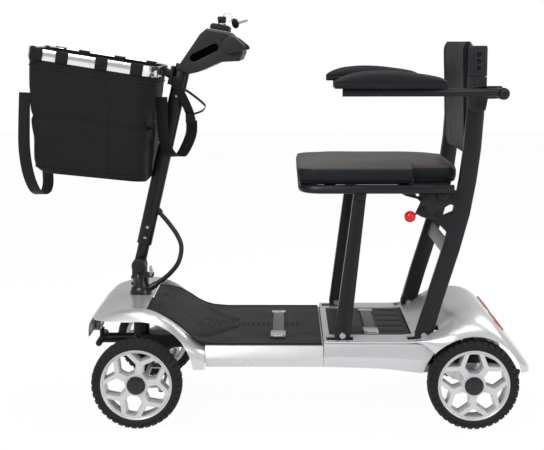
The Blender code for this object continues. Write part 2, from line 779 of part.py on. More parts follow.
def steering_column():
    flutes = 10
    outline = []
    for k in range(flutes * 2):
        t = math.pi * k / flutes
        r = COLUMN_D / 2 - (0.0009 if k % 2 else 0.0)
        outline.append((COLUMN_X + r * math.cos(t), r * math.sin(t)))
    body = plan_plate(outline, 0.255, COLUMN_TOP)
    boot = revolve([(0.0150, BOOT_LOW), (BOOT_R, BOOT_LOW + 0.001), (BOOT_R, 0.262), (0.0225, 0.271),
                    (0.0205, 0.2745)], (COLUMN_X, 0, 0), (0, 0, 1), 24)
    shaft = rod((COLUMN_X, 0, ARM_TOP - 0.003), (COLUMN_X, 0, 0.26), SHAFT_R, WIDE_SIDES)
    column = fuse(shaft, boot, body, steer_arm(COLUMN_X, 0.0, 0.0085))
    gland = rod(GLAND - GLAND_OUT * 0.024, GLAND, GLAND_R, PIN_SIDES)
    column = fuse(column, gland)
    for side in (-1, 1):
        y0, y1 = sorted((side * CHEEK_Y, side * (CHEEK_Y + CHEEK_T)))
        cheek = side_plate(arc(HINGE.x, HINGE.z, CHEEK_R, 0, 180, 10) +
                           [(HINGE.x - CHEEK_R, COLUMN_TOP - 0.01),
                            (HINGE.x + CHEEK_R, COLUMN_TOP - 0.01)], y0, y1)
        column = fuse(column, cheek)
    column = cut(column, running_hole((HINGE.x, -0.05, HINGE.z), (HINGE.x, 0.05, HINGE.z), HINGE_PIN_R,
                                      PIN_SIDES))
    for z in (0.281, 0.296):
        bolt = rod((COLUMN_X - 0.010, 0, z), (COLUMN_X - 0.0225, 0, z), 0.0042, 6)
        column = fuse(column, bolt)
    return column


HINGE_PIN_R = 0.0058
node("steering_column", steering_column(), SILVER, (COLUMN_X, 0, HEAD_TUBE_TOP))


# Wheels

RIM_R = 0.0792
RIM_HALF = 0.021
SPOKES = 5
SPOKE_FACE = 0.019
SPOKE_BACK = 0.006
HUB_R = 0.021
LIP_R = 0.0735
RIM_TURN = 0.041


def polar(radius, degrees):
    t = math.radians(degrees)
    return radius * math.cos(t), radius * math.sin(t)


def spoke_windows(start):
    """Outlines of the openings between forked spokes: five large, five at the rim."""
    outer = LIP_R + 0.0017
    outlines = []
    for k in range(SPOKES):
        a = start + 360 / SPOKES * k
        large = [(0.0258, a + 14), (0.0455, a + 7.5), (outer, a + 30), (outer, a + 36), (outer, a + 42),
                 (0.0455, a + 64.5), (0.0258, a + 58)]
        small = [(0.0515, a), (outer, a + 20.5), (outer, a + 7), (outer, a - 7), (outer, a - 20.5)]
        outlines.append([polar(r, d) for r, d in large])
        outlines.append([polar(r, d) for r, d in small])
    return outlines


def rim(x, side, start):
    """Cast wheel: barrel, dished face with forked spokes, and a hub on its bore."""
    centre = (x, side * WHEEL_Y, AXLE_Z)
    out = (0, side, 0)
    barrel = revolve([(LIP_R, -RIM_HALF), (RIM_R, -RIM_HALF), (RIM_R, RIM_HALF), (LIP_R + 0.002, RIM_HALF),
                      (LIP_R, SPOKE_FACE)], centre, out, WHEEL_SIDES, closed=True)
    face = revolve([(RIM_R - 0.003, SPOKE_BACK), (RIM_R - 0.003, SPOKE_FACE - 0.001),
                    (0.030, SPOKE_FACE - 0.004),
                    (0.024, SPOKE_FACE - 0.002)], centre, out, WHEEL_SIDES, turn=RIM_TURN)
    for outline in spoke_windows(start):
        moved = [(x + dx, AXLE_Z + dz) for dx, dz in outline]
        face = cut(face, side_plate(moved, side * WHEEL_Y - 0.03, side * WHEEL_Y + 0.03))
    hub = revolve([(HUB_R, WHEEL_IN + 0.0006 - WHEEL_Y), (HUB_R, RIM_HALF - 0.0005)], centre, out,
                  turn=2 * RIM_TURN)
    wheel = fuse(barrel, face, hub)
    return cut(wheel, running_hole((x, side * 0.15, AXLE_Z), (x, side * 0.30, AXLE_Z), AXLE_R, PIN_SIDES))


def tyre(x, side):
    half = TYRE_WIDTH / 2
    outer = WHEEL_D / 2
    inner = RIM_R + FIT
    profile = [(inner, -half + 0.004), (inner + 0.006, -half), (outer - 0.010, -half), (outer, -half + 0.012),
               (outer, half - 0.012), (outer - 0.010, half), (inner + 0.006, half), (inner, half - 0.004)]
    return revolve(profile, (x, side * WHEEL_Y, AXLE_Z), (0, side, 0), WHEEL_SIDES, closed=True)


CAP_R = 0.0205
CAP_BASE = RIM_HALF - 0.0001


def cap_profile():
    return [(CAP_R, CAP_BASE), (CAP_R, CAP_BASE + 0.003), (CAP_R * 0.86, CAP_BASE + 0.0065),
            (0.006, CAP_BASE + 0.0078)]


def rear_shaft(side):
    """Drive shaft with the domed cap that holds the wheel on it."""
    shaft = rod((XR, side * 0.136, AXLE_Z), (XR, side * (WHEEL_Y + CAP_BASE + 0.002), AXLE_Z), AXLE_R,
                PIN_SIDES)
    return fuse(shaft, revolve(cap_profile(), (XR, side * WHEEL_Y, AXLE_Z), (0, side, 0), WIDE_SIDES))


for label, side in (("left", -1), ("right", 1)):
    for place, x, start in (("front", XF, 80), ("rear", XR, 270)):
        hub_centre = (x, side * WHEEL_Y, AXLE_Z)
        node("tyre_" + place + "_" + label, tyre(x, side), RUBBER, hub_centre)
        node("rim_" + place + "_" + label, rim(x, side, start), RIM_GREY, hub_centre)
    cap = revolve(cap_profile(), (XF, side * WHEEL_Y, AXLE_Z), (0, side, 0), WIDE_SIDES)
    node("hub_cap_front_" + label, cap, PLASTIC, (XF, side * WHEEL_Y, AXLE_Z))
    node("axle_shaft_rear_" + label, rear_shaft(side), PLASTIC, (XR, side * WHEEL_Y, AXLE_Z))


# Tiller

UP_STEM = Vector((math.sin(TILLER_LEAN), 0, math.cos(TILLER_LEAN)))
FRONT_STEM = Vector((-math.cos(TILLER_LEAN), 0, math.sin(TILLER_LEAN)))
STEM_START = 0.0505
STEM_END = STEM_START + STEM_LENGTH + 0.032
NECK_R = 0.0135
TONGUE_R = 0.0150


def on_stem(along, ahead=0.0, y=0.0):
    return HINGE + UP_STEM * along + FRONT_STEM * ahead + Vector((0, y, 0))


def tiller_hinge():
    """Tongue between the column's cheeks with its cross pin and the neck up into the stem."""
    half = CHEEK_Y - FIT
    disc = rod((HINGE.x, -half, HINGE.z), (HINGE.x, half, HINGE.z), TONGUE_R, WIDE_SIDES)
    web = sweep([on_stem(0.004), on_stem(0.022)], oval(2 * half - 0.0004, 0.026, 0.003))
    neck = rod(on_stem(0.0185), on_stem(STEM_START + 0.012), NECK_R, WIDE_SIDES)
    pin_end = CHEEK_Y + CHEEK_T + 0.0065
    pin = rod((HINGE.x, -pin_end, HINGE.z), (HINGE.x, CHEEK_Y + CHEEK_T + 0.003, HINGE.z), HINGE_PIN_R,
              PIN_SIDES)
    return fuse(disc, web, neck, pin)


node("tiller_hinge", tiller_hinge(), STEEL, HINGE)


def hinge_knob():
    """Lobed clamp knob on the near end of the hinge pin."""
    face = -(CHEEK_Y + CHEEK_T + FIT)
    outline = []
    for k in range(36):
        t = 2 * math.pi * k / 36
        r = 0.0170 + 0.0015 * math.cos(6 * t)
        outline.append((HINGE.x + r * math.cos(t), HINGE.z + r * math.sin(t)))
    grip = side_plate(outline, face - 0.015, face - 0.004)
    collar = rod((HINGE.x, face, HINGE.z), (HINGE.x, face - 0.005, HINGE.z), 0.0115, WIDE_SIDES)
    knob = fuse(grip, collar)
    pocket = running_hole((HINGE.x, face + 0.01, HINGE.z), (HINGE.x, face - 0.0070, HINGE.z), HINGE_PIN_R,
                          PIN_SIDES)
    return cut(knob, pocket)


node("hinge_knob", hinge_knob(), PLASTIC, HINGE)


def stem_tube():
    outline = oval(STEM_T, STEM_W, 0.010)
    tube = sweep([on_stem(STEM_START), on_stem(STEM_END)], outline)
    socket = running_hole(on_stem(STEM_START - 0.02), on_stem(STEM_START + 0.014), NECK_R, WIDE_SIDES)
    tube = cut(tube, socket)
    gland = rod(STEM_GLAND - GLAND_DIR * 0.014, STEM_GLAND, GLAND_R, PIN_SIDES)
    tube = fuse(tube, gland)
    for along in (STEM_END - 0.055, STEM_END - 0.047, STEM_START + 0.012, STEM_START + 0.022):
        stud = rod(on_stem(along, 0, -STEM_T / 2 + 0.0008), on_stem(along, 0, -STEM_T / 2 - 0.002), 0.0032,
                   SMALL_SIDES)
        tube = fuse(tube, stud)
    return tube


GLAND_DIR = Vector((0.62, 0.0, -0.78)).normalized()
STEM_GLAND = on_stem(0.1330, -STEM_W / 2) + GLAND_DIR * 0.0065
node("stem_tube", stem_tube(), BLACK, HINGE)

# Head outline as (x from the front axle, z), front low corner first
HEAD_LINE = [(0.0864, 0.785), (0.140, 0.862), (0.155, 0.8746), (0.201, 0.866), (0.229, 0.840), (0.235, 0.821),
             (0.227, 0.803), (0.1855, 0.801), (0.135, 0.779), (0.1105, 0.7735)]
PADDLE = Vector((XF + 0.2076, 0.0, 0.838))
PADDLE_R = 0.018
PADDLE_SHAFT_R = 0.006


def head_ring(y, inset):
    """Head outline at one width, drawn in towards its middle for the rounded ends."""
    cx = sum(x for x, z in HEAD_LINE) / len(HEAD_LINE)
    cz = sum(z for x, z in HEAD_LINE) / len(HEAD_LINE)
    keep = 1 - inset
    return [(XF + cx + (x - cx) * keep, y, cz + (z - cz) * keep) for x, z in HEAD_LINE]


def finger_slot(y0, y1):
    """Slanting slot through one hand loop, seen from the side."""
    start = Vector((XF + 0.1265, 0.8105))
    end = Vector((XF + 0.1730, 0.8330))
    half = 0.0085
    turn = math.degrees(math.atan2(end.y - start.y, end.x - start.x))
    outline = arc(end.x, end.y, half, turn - 90, turn + 90, 6) + arc(start.x, start.y, half, turn + 90,
                                                                     turn + 270, 6)
    return side_plate(outline, y0, y1)


def head_housing():
    widths = ((-HEAD_HALF, 0.09), (-HEAD_HALF + 0.005, 0.02), (-HEAD_HALF + 0.014, 0.0),
              (HEAD_HALF - 0.014, 0.0), (HEAD_HALF - 0.005, 0.02), (HEAD_HALF, 0.09))
    head = loft([head_ring(y, inset) for y, inset in widths])
    head = cut(head, finger_slot(-0.2, -POD_HALF), finger_slot(POD_HALF, 0.2))
    head = cut(head, sweep([on_stem(STEM_START), on_stem(STEM_END + FIT)],
                           oval(STEM_T + 2 * FIT, STEM_W + 2 * FIT, 0.010)))
    return cut(head, running_hole((PADDLE.x, -0.2, PADDLE.z), (PADDLE.x, 0.2, PADDLE.z), PADDLE_SHAFT_R,
                                  PIN_SIDES))


POD_HALF = 0.046
node("head_housing", head_housing(), PLASTIC, HINGE)

CONSOLE_TOP = Vector((XF + 0.182, 0.0, 0.8848))
CONSOLE_UP = Vector((0.184, 0.0, 0.983)).normalized()


def head_cover():
    """Console on the crown of the head with the key switch collar."""
    lift = FIT
    outline = [(0.1565, 0.8745 + lift), (0.2008, 0.8662 + lift), (0.2010, 0.8770), (0.196, 0.8815),
               (0.165, 0.8873),
               (0.159, 0.8855)]
    plate = side_plate([(XF + x, z) for x, z in outline], -POD_HALF, POD_HALF)
    collar = rod(CONSOLE_TOP - CONSOLE_UP * 0.006, CONSOLE_TOP + CONSOLE_UP * 0.003, 0.0095, WIDE_SIDES)
    cover = fuse(plate, collar)
    return cut(cover, rod(CONSOLE_TOP - CONSOLE_UP * 0.003, CONSOLE_TOP + CONSOLE_UP * 0.02, 0.0042,
                          SMALL_SIDES))


node("head_cover", head_cover(), PLASTIC, HINGE, bevel=0.001)


def ignition_key():
    """Blade in the switch and a flat bow with a hole."""
    blade = rod(CONSOLE_TOP - CONSOLE_UP * 0.0025, CONSOLE_TOP + CONSOLE_UP * 0.008, 0.003, SMALL_SIDES)
    centre = CONSOLE_TOP + CONSOLE_UP * 0.017
    flat = Vector((0, 1, 0))
    bow = rod(centre - flat * 0.0016, centre + flat * 0.0016, 0.011, PIN_SIDES)
    hole_at = centre + CONSOLE_UP * 0.006
    return cut(fuse(blade, bow), rod(hole_at - flat * 0.01, hole_at + flat * 0.01, 0.0022, SMALL_SIDES))


node("ignition_key", ignition_key(), STEEL, CONSOLE_TOP)


def paddle(side):
    """Thumb lever: a round boss that tapers to a tip behind the head."""
    y0 = side * (HEAD_HALF + FIT)
    y1 = side * (HEAD_HALF + 0.0090)
    tip = Vector((XF + 0.2416, 0.831))
    outline = arc(PADDLE.x, PADDLE.z, PADDLE_R, 50, 290, 14) + [(tip.x - 0.002, tip.y - 0.004),
                                                                (tip.x, tip.y),
                                                            (tip.x - 0.003, tip.y + 0.005)]
    return side_plate(outline, min(y0, y1), max(y0, y1))


def throttle_paddles():
    reach = HEAD_HALF + 0.004
    shaft = rod((PADDLE.x, -reach, PADDLE.z), (PADDLE.x, reach, PADDLE.z), PADDLE_SHAFT_R, PIN_SIDES)
    return fuse(shaft, paddle(-1), paddle(1))


node("throttle_paddles", throttle_paddles(), PLASTIC, PADDLE)


def tiller_latch():
    """Small lever behind the hinge, on a pin between two lugs of the column."""
    x0 = LATCH.x - 0.0036
    outline = [(x0, LATCH.z - 0.0030), (x0 + 0.0065, LATCH.z - 0.0035), (x0 + 0.0075, LATCH.z + 0.008),
               (x0 + 0.0035, LATCH.z + 0.0185), (x0, LATCH.z + 0.0185)]
    lever = side_plate(outline, -LATCH_HALF, LATCH_HALF)
    return fuse(lever, rod((LATCH.x, -LATCH_HALF - 0.004, LATCH.z), (LATCH.x, LATCH_HALF + 0.004, LATCH.z),
                           LATCH_PIN_R, SMALL_SIDES))


LATCH = Vector((COLUMN_X + COLUMN_D / 2 + 0.0055, 0.0, 0.3035))
LATCH_HALF = 0.0085
LATCH_PIN_R = 0.0025


def latch_lugs():
    column = bpy.data.objects["steering_column"]
    origin = Vector(column.location)
    for side in (-1, 1):
        y0, y1 = sorted((side * (LATCH_HALF + FIT), side * (LATCH_HALF + 0.0036)))
        lug = box(COLUMN_X + 0.010, LATCH.x + 0.0055, y0, y1, LATCH.z - 0.0065, LATCH.z + 0.003)
        lug = cut(lug, running_hole((LATCH.x, y0 - 0.01, LATCH.z), (LATCH.x, y1 + 0.01, LATCH.z),
                                    LATCH_PIN_R, SMALL_SIDES))
        lug.data.transform(Matrix.Translation(-origin))
        lug.location = origin
        fuse(column, lug)
    column.data.materials.clear()
    column.data.materials.append(SILVER)


latch_lugs()
node("tiller_latch", tiller_latch(), STEEL, LATCH)


# Basket

RIM_BACK = Vector((XF + 0.042, 0.0, 0.779))
RIM_AHEAD = Vector((-math.cos(BASKET_TILT), 0, math.sin(BASKET_TILT)))
RIM_UP = Vector((math.sin(BASKET_TILT), 0, math.cos(BASKET_TILT)))
BAND_H = 0.024
BAND_T = 0.007
BASKET_CORNER = 0.042
BAG_WALL = 0.003


def basket_ring(back, length, half, ahead, corner, steps=4):
    """Rounded rectangle that starts at a point on its back edge and runs forward."""
    centre = back + ahead * (length / 2)
    ring = []
    for a, b in oval(length, 2 * half, corner, steps):
        ring.append(centre + ahead * a + Vector((0, b, 0)))
    return ring


def basket_rim():
    path = basket_ring(RIM_BACK, BASKET_LENGTH, BASKET_HALF, RIM_AHEAD, BASKET_CORNER)
    return sweep(path, oval(BAND_H, BAND_T, 0.0025, 1), RIM_UP, closed=True)


node("basket_rim", basket_rim(), ALUMINIUM, HINGE)


def bag_rings(shrink):
    """Four rings from the rim down to the slanting floor."""
    top = RIM_BACK - RIM_UP * (BAND_H / 2 + FIT)
    floor = top - Vector((0.026, 0, BASKET_DEPTH - 0.012))
    low_ahead = Vector((-math.cos(0.10), 0, math.sin(0.10)))
    rings = []
    for back, length, half, ahead, corner in (
        (top, BASKET_LENGTH, BASKET_HALF, RIM_AHEAD, BASKET_CORNER),
        (top.lerp(floor, 0.5), BASKET_LENGTH - 0.016, BASKET_HALF + 0.003, RIM_AHEAD.lerp(low_ahead, 0.5),
         0.046),
        (top.lerp(floor, 0.9), BASKET_LENGTH - 0.030, BASKET_HALF - 0.002, low_ahead, 0.044),
        (floor, BASKET_LENGTH - 0.050, BASKET_HALF - 0.014, low_ahead, 0.036),
    ):
        moved = back + ahead * shrink
        rings.append(basket_ring(moved, length - 2 * shrink, half - shrink, ahead, corner - shrink * 0.5))
    return rings


def basket_bag():
    outer = loft(bag_rings(0.0))
    hollow = bag_rings(BAG_WALL)
    mouth = [point + RIM_UP * 0.02 for point in hollow[0]]
    base = [point + Vector((0, 0, BAG_WALL)) for point in hollow[-1]]
    return cut(outer, loft([mouth, hollow[0], hollow[1], hollow[2], base]))


node("basket_bag", basket_bag(), NYLON, HINGE)


def basket_bracket():
    """Saddle on the front of the stem and two hooks that reach under the basket rim."""
    face = STEM_W / 2 + FIT
    low = 0.428
    high = 0.470
    saddle = sweep([on_stem(low, face + 0.004), on_stem(high, face + 0.004)], oval(0.052, 0.008, 0.002, 2))
    rim_face = RIM_BACK + Vector((BAND_T / 2 + FIT, 0, 0))
    for side in (-1, 1):
        y = side * 0.020
        start = on_stem((low + high) / 2, face + 0.004, y)
        end = Vector((rim_face.x + 0.003, y, rim_face.z))
        arm = sweep([start, end], oval(0.010, 0.016, 0.002, 2))
        saddle = fuse(saddle, arm)
    hook = sweep([rim_face + RIM_UP * -0.0118 + Vector((0.0030, 0, 0)),
                  rim_face + RIM_UP * 0.0118 + Vector((0.0030, 0, 0))],
                 oval(0.056, 0.0056, 0.002, 2))
    return fuse(saddle, hook)


node("basket_bracket", basket_bracket(), BLACK, HINGE)


def webbing(points, width=0.026, thick=0.0018):
    """Flat band along hand-chosen points, mirrored to the far side."""
    near = [Vector(p) for p in points]
    far = [Vector((p.x, -p.y, p.z)) for p in reversed(near) if p.y < -1e-6]
    path = near + far
    rings = []
    for k, point in enumerate(path):
        ahead = (path[min(k + 1, len(path) - 1)] - path[max(k - 1, 0)]).normalized()
        across = Vector((1, 0, 0)) - ahead * ahead.x
        across.normalize()
        out = ahead.cross(across)
        rings.append([point + across * (a * width / 2) + out * (b * thick / 2)
                      for a, b in ((-1, -1), (1, -1), (1, 1), (-1, 1))])
    return loft(rings)


FRONT_STRAP = [(-0.2508, -0.118, 0.735), (-0.2535, -0.121, 0.670), (-0.2545, -0.122, 0.610),
               (-0.2500, -0.112, 0.556),
               (-0.2430, -0.085, 0.517), (-0.2390, -0.045, 0.500), (-0.2380, 0.0, 0.496)]
REAR_STRAP = [(0.0489, -0.055, 0.720), (0.0600, -0.056, 0.670), (0.0780, -0.050, 0.620),
              (0.0950, -0.034, 0.594),
              (0.1010, 0.0, 0.586)]
node("basket_strap_front", webbing([(XF + x, y, z) for x, y, z in FRONT_STRAP]), NYLON, HINGE)
node("basket_strap_rear", webbing([(XF + x, y, z) for x, y, z in REAR_STRAP], 0.028), NYLON, HINGE)


# Cable hose from the stem down to the column foot

HOSE_R = 0.0055
HOSE_LINE = [(0.0545, 0.4240), (0.0735, 0.3958), (0.0827, 0.3673), (0.0753, 0.3315), (0.0530, 0.3030)]


def smooth(points, per_span):
    """Points on a smooth curve through the given ones."""
    ends = [points[0] * 2 - points[1]] + points + [points[-1] * 2 - points[-2]]
    line = []
    for k in range(1, len(ends) - 2):
        p0, p1, p2, p3 = ends[k - 1:k + 3]
        for j in range(per_span):
            t = j / per_span
            line.append(0.5 * (2 * p1 + (p2 - p0) * t + (2 * p0 - 5 * p1 + 4 * p2 - p3) * t * t
                               + (3 * p1 - p0 - 3 * p2 + p3) * t * t * t))
    return line + [points[-1]]


def cable_hose():
    start = STEM_GLAND + GLAND_DIR * FIT
    end = GLAND + GLAND_OUT * FIT
    route = [start, start + GLAND_DIR * 0.006] + [Vector((XF + x, 0, z)) for x, z in HOSE_LINE]
    route += [end + GLAND_OUT * 0.006, end]
    curve = bpy.data.curves.new("cable_hose", "CURVE")
    curve.dimensions = "3D"
    curve.bevel_depth = HOSE_R
    curve.bevel_resolution = 2
    curve.use_fill_caps = True
    spline = curve.splines.new("POLY")
    line = smooth(route, 2)
    spline.points.add(len(line) - 1)
    for slot, point in zip(spline.points, line):
        slot.co = (*point, 1.0)
    hose = new_object("cable_hose", curve)
    curve.materials.append(PLASTIC)
    return hose


cable_hose()


# Seat linkage

LEG_IN = LEG_HALF_Y - LEG_T / 2
LEG_OUT = LEG_HALF_Y + LEG_T / 2
EAR_R = 0.013
SEAT_EAR_IN = LEG_OUT + 0.0008
SEAT_EAR_T = 0.0060
TUBE_R = 0.010
TUBE_Y = SEAT_HALF
TUBE_Z = PIVOT_B.z + 0.0120
OPEN_PIN_GAP = 0.0010
GUSSET_T = 0.006


def foot_fork(item, pivot, side, width):
    """Open the foot of a leg round the chassis ear and put its cross pin through."""
    y = side * LEG_HALF_Y
    half = EAR_T / 2 + FIT
    reach = 0.0155
    slot = box(pivot.x - width, pivot.x + width, y - half, y + half, pivot.z - 0.05, pivot.z + reach)
    item = cut(item, slot)
    return fuse(item, rod((pivot.x, y - LEG_T / 2 - 0.001, pivot.z),
                          (pivot.x, y + LEG_T / 2 + 0.001, pivot.z), PIN_R, PIN_SIDES))


def front_leg(side):
    y = side * LEG_HALF_Y
    lean = math.degrees(math.atan2(LEG_RISE, LEG_LEAN))
    half = FRONT_LEG_W / 2
    outline = arc(PIVOT_B.x, PIVOT_B.z, half - 0.004, lean - 90, lean + 90, 8)
    outline += arc(PIVOT_A.x, PIVOT_A.z, half, lean + 90, lean + 270, 8)
    leg = side_plate(outline, y - LEG_T / 2, y + LEG_T / 2)
    leg = foot_fork(leg, PIVOT_A, side, FRONT_LEG_W)
    hole = rod((PIVOT_B.x, y - 0.03, PIVOT_B.z), (PIVOT_B.x, y + 0.03, PIVOT_B.z), PIN_R + OPEN_PIN_GAP,
               PIN_SIDES)
    return cut(leg, hole)


# Back post line as (x from the rear axle, z), from the foot up
POST_LINE = [(-0.106, 0.2005), (-0.083, 0.282), (-0.049, 0.394), (-0.028, 0.474), (-0.0155, 0.545),
             (-0.007, 0.614),
             (-0.002, 0.690), (-0.002, 0.7705)]
GUSSET_LINE = [(-0.129, 0.474), (-0.1165, 0.502), (-0.100, 0.521), (-0.082, 0.5285), (-0.056, 0.5285),
               (-0.036, 0.5230),
               (-0.020, 0.536), (-0.030, 0.470), (-0.052, 0.422), (-0.060, 0.432), (-0.085, 0.458), (-0.115,
                                                                                                     0.466)]
BEAN = [(-0.084, 0.470), (-0.052, 0.486)]
LEVER = Vector((XR - 0.1124, 0.0, 0.4800))


def back_post(side):
    """Bent tube with a forked foot and the gusset that carries the seat's rear pivot."""
    y = side * LEG_HALF_Y
    path = [Vector((XR + x, y, z)) for x, z in POST_LINE]
    post = sweep(path, oval(LEG_T, POST_W, 0.006, 2))
    foot = rod((PIVOT_D.x, y - LEG_T / 2, PIVOT_D.z), (PIVOT_D.x, y + LEG_T / 2, PIVOT_D.z),
               POST_W / 2 - 0.0003, WIDE_SIDES)
    post = foot_fork(fuse(post, foot), PIVOT_D, side, POST_W)
    y0, y1 = sorted((side * (LEG_OUT - GUSSET_T), side * LEG_OUT))
    gusset = side_plate([(XR + x, z) for x, z in GUSSET_LINE], y0 + 0.0002, y1 - 0.0002)
    (ax, az), (bx, bz) = BEAN
    turn = math.degrees(math.atan2(bz - az, bx - ax))
    bean = arc(XR + bx, bz, 0.0075, turn - 90, turn + 90, 6) + arc(XR + ax, az, 0.0055, turn + 90,
                                                                   turn + 270, 6)
    gusset = cut(gusset, side_plate(bean, y0 - 0.02, y1 + 0.02))
    post = fuse(post, gusset)
    hole = running_hole((PIVOT_C.x, y0 - 0.02, PIVOT_C.z), (PIVOT_C.x, y1 + 0.02, PIVOT_C.z), PIN_R,
                        PIN_SIDES)
    post = cut(post, hole)
    if side < 0:
        post = cut(post, running_hole((LEVER.x, y0 - 0.02, LEVER.z), (LEVER.x, y1 + 0.02, LEVER.z),
                                      LEVER_PIN_R, SMALL_SIDES))
    return post


LEVER_PIN_R = 0.003
for label, side in (("left", -1), ("right", 1)):
    node("front_leg_" + label, front_leg(side), BLACK, (PIVOT_A.x, side * LEG_HALF_Y, PIVOT_A.z))
    node("back_post_" + label, back_post(side), BLACK, (PIVOT_D.x, side * LEG_HALF_Y, PIVOT_D.z))


def back_cross_bar():
    """Flat bar between the posts below the seat, with its ends turned up."""
    x = XR - 0.0500
    z = 0.390
    half = LEG_IN - FIT
    bar = side_plate([(x - 0.012, z - 0.015), (x - 0.007, z - 0.015), (x + 0.002, z + 0.015),
                      (x - 0.003, z + 0.015)],
                     -half, half)
    return bar


node("back_cross_bar", back_cross_bar(), STEEL, PIVOT_D)

SEAT_X0 = XR - 0.387
SEAT_X1 = SEAT_X0 + SEAT_LENGTH
SEAT_Z = PIVOT_B.z + 0.0225
BOARD_T = 0.005
NOTCH_X = PIVOT_C.x - 0.064
NOTCH_Y = LEG_IN - 0.0020


def seat_frame():
    """U of round tube round the seat, a board between its sides and an ear at each pivot."""
    front = SEAT_X0 + 0.012
    rear = PIVOT_C.x + 0.022
    corner = 0.040
    right = [(rear, TUBE_Y)] + [(front + corner - corner * math.sin(t),
                                 TUBE_Y - corner + corner * math.cos(t))
                               for t in (0, math.pi / 8, math.pi / 4, 3 * math.pi / 8, math.pi / 2)]
    path = [Vector((x, y, TUBE_Z)) for x, y in right]
    path += [Vector((p.x, -p.y, p.z)) for p in reversed(path)]
    frame = sweep(path, ring_outline(TUBE_R, 8), (0, 0, 1))
    top = SEAT_Z - FIT
    board = box(front + 0.004, PIVOT_C.x + 0.020, -NOTCH_Y + 0.004, NOTCH_Y - 0.004, top - BOARD_T, top)
    frame = fuse(frame, board)
    for x in (front + 0.060, NOTCH_X - 0.020):
        bar = box(x - 0.012, x + 0.012, -TUBE_Y, TUBE_Y, top - BOARD_T - 0.0025, top - 0.0015)
        frame = fuse(frame, bar)
    for side in (-1, 1):
        y0, y1 = sorted((side * SEAT_EAR_IN, side * (SEAT_EAR_IN + SEAT_EAR_T)))
        for pivot in (PIVOT_B, PIVOT_C):
            lobe = arc(pivot.x, pivot.z, EAR_R, 180, 360, 10)
            plate = side_plate(lobe + [(pivot.x + EAR_R + 0.004, TUBE_Z),
                                       (pivot.x - EAR_R - 0.004, TUBE_Z)], y0, y1)
            inner = LEG_IN if pivot is PIVOT_B else LEG_OUT - GUSSET_T - 0.001
            pin = rod((pivot.x, side * inner, pivot.z), (pivot.x, side * (SEAT_EAR_IN + 0.003), pivot.z),
                      PIN_R, PIN_SIDES)
            frame = fuse(frame, plate, pin)
    return frame


node("seat_frame", seat_frame(), BLACK, PIVOT_C)


def pad_ring(x, half, low, high, power, sides=24):
    """Closed pillow cross-section at one x."""
    middle = (low + high) / 2
    rise = (high - low) / 2
    ring = []
    for k in range(sides):
        t = 2 * math.pi * (k + 0.5) / sides
        c = math.cos(t)
        s = math.sin(t)
        ring.append((x, half * math.copysign(abs(c) ** (2 / power), c),
                     middle + rise * math.copysign(abs(s) ** (2 / power), s)))
    return ring


def seat_cushion():
    """Padded seat with a crown, drawn-in edges and notches where the posts fold past."""
    high = SEAT_Z + CUSHION_T
    length = SEAT_LENGTH
    shape = ((0.000, 0.955, 0.010, 0.006), (0.006, 0.985, 0.003, 0.014), (0.022, 1.0, 0.0, 0.007),
             (0.070, 1.0, 0.0, 0.001),
             (0.5 * length, 1.0, 0.0, -0.0035), (length - 0.070, 1.0, 0.0, 0.0), (length - 0.022, 1.0, 0.0,
                                                                                  0.006),
             (length - 0.006, 0.985, 0.003, 0.013), (length, 0.955, 0.010, 0.018))
    rings = []
    for along, wide, lift, drop in shape:
        rings.append(pad_ring(SEAT_X0 + along, SEAT_HALF * wide, SEAT_Z + lift, high - drop, 5.0))
    cushion = loft(rings)
    for side in (-1, 1):
        y0, y1 = sorted((side * NOTCH_Y, side * 0.30))
        cushion = cut(cushion, box(NOTCH_X, SEAT_X1 + 0.05, y0, y1, 0.4, 0.7))
    return cushion


node("seat_cushion", seat_cushion(), VINYL, PIVOT_C)


def backrest():
    """Sling back between the posts, hollowed for the rider, with a rolled top."""
    low = 0.600
    rows = []
    half = LEG_IN - FIT
    for z, x_edge, hollow, thick in ((low, -0.0180, 0.004, 0.012), (low + 0.012, -0.0210, 0.006, 0.020),
                                     (0.680, -0.024, 0.010, 0.024),
                                     (0.760, -0.026, 0.012, 0.026), (0.820, -0.028, 0.010, 0.030),
                                     (BACK_TOP - 0.010, -0.026, 0.008, 0.026), (BACK_TOP, -0.020, 0.006,
                                                                                0.012)):
        front = []
        back = []
        for k in range(9):
            f = -1 + k / 4
            dip = hollow * (1 - f * f)
            front.append((XR + x_edge + dip, half * f, z))
            back.append((XR + x_edge + dip + thick * (1 - 0.55 * f ** 4), half * f, z))
        rows.append(front + list(reversed(back)))
    return loft(rows)


node("backrest", backrest(), VINYL, PIVOT_D)


# Post caps and armrests

POST_TOP = POST_LINE[-1][1]
CAP_X0 = XR - 0.0190
CAP_X1 = XR + 0.0200
CAP_TOP = 0.836
ARM_PIVOT = Vector((XR + 0.0421, 0.0, 0.7370))
ARM_PIN_R = 0.006
BRACKET_IN = LEG_OUT + 0.0006
BRACKET_T = 0.0070
ARM_BAR = 0.017


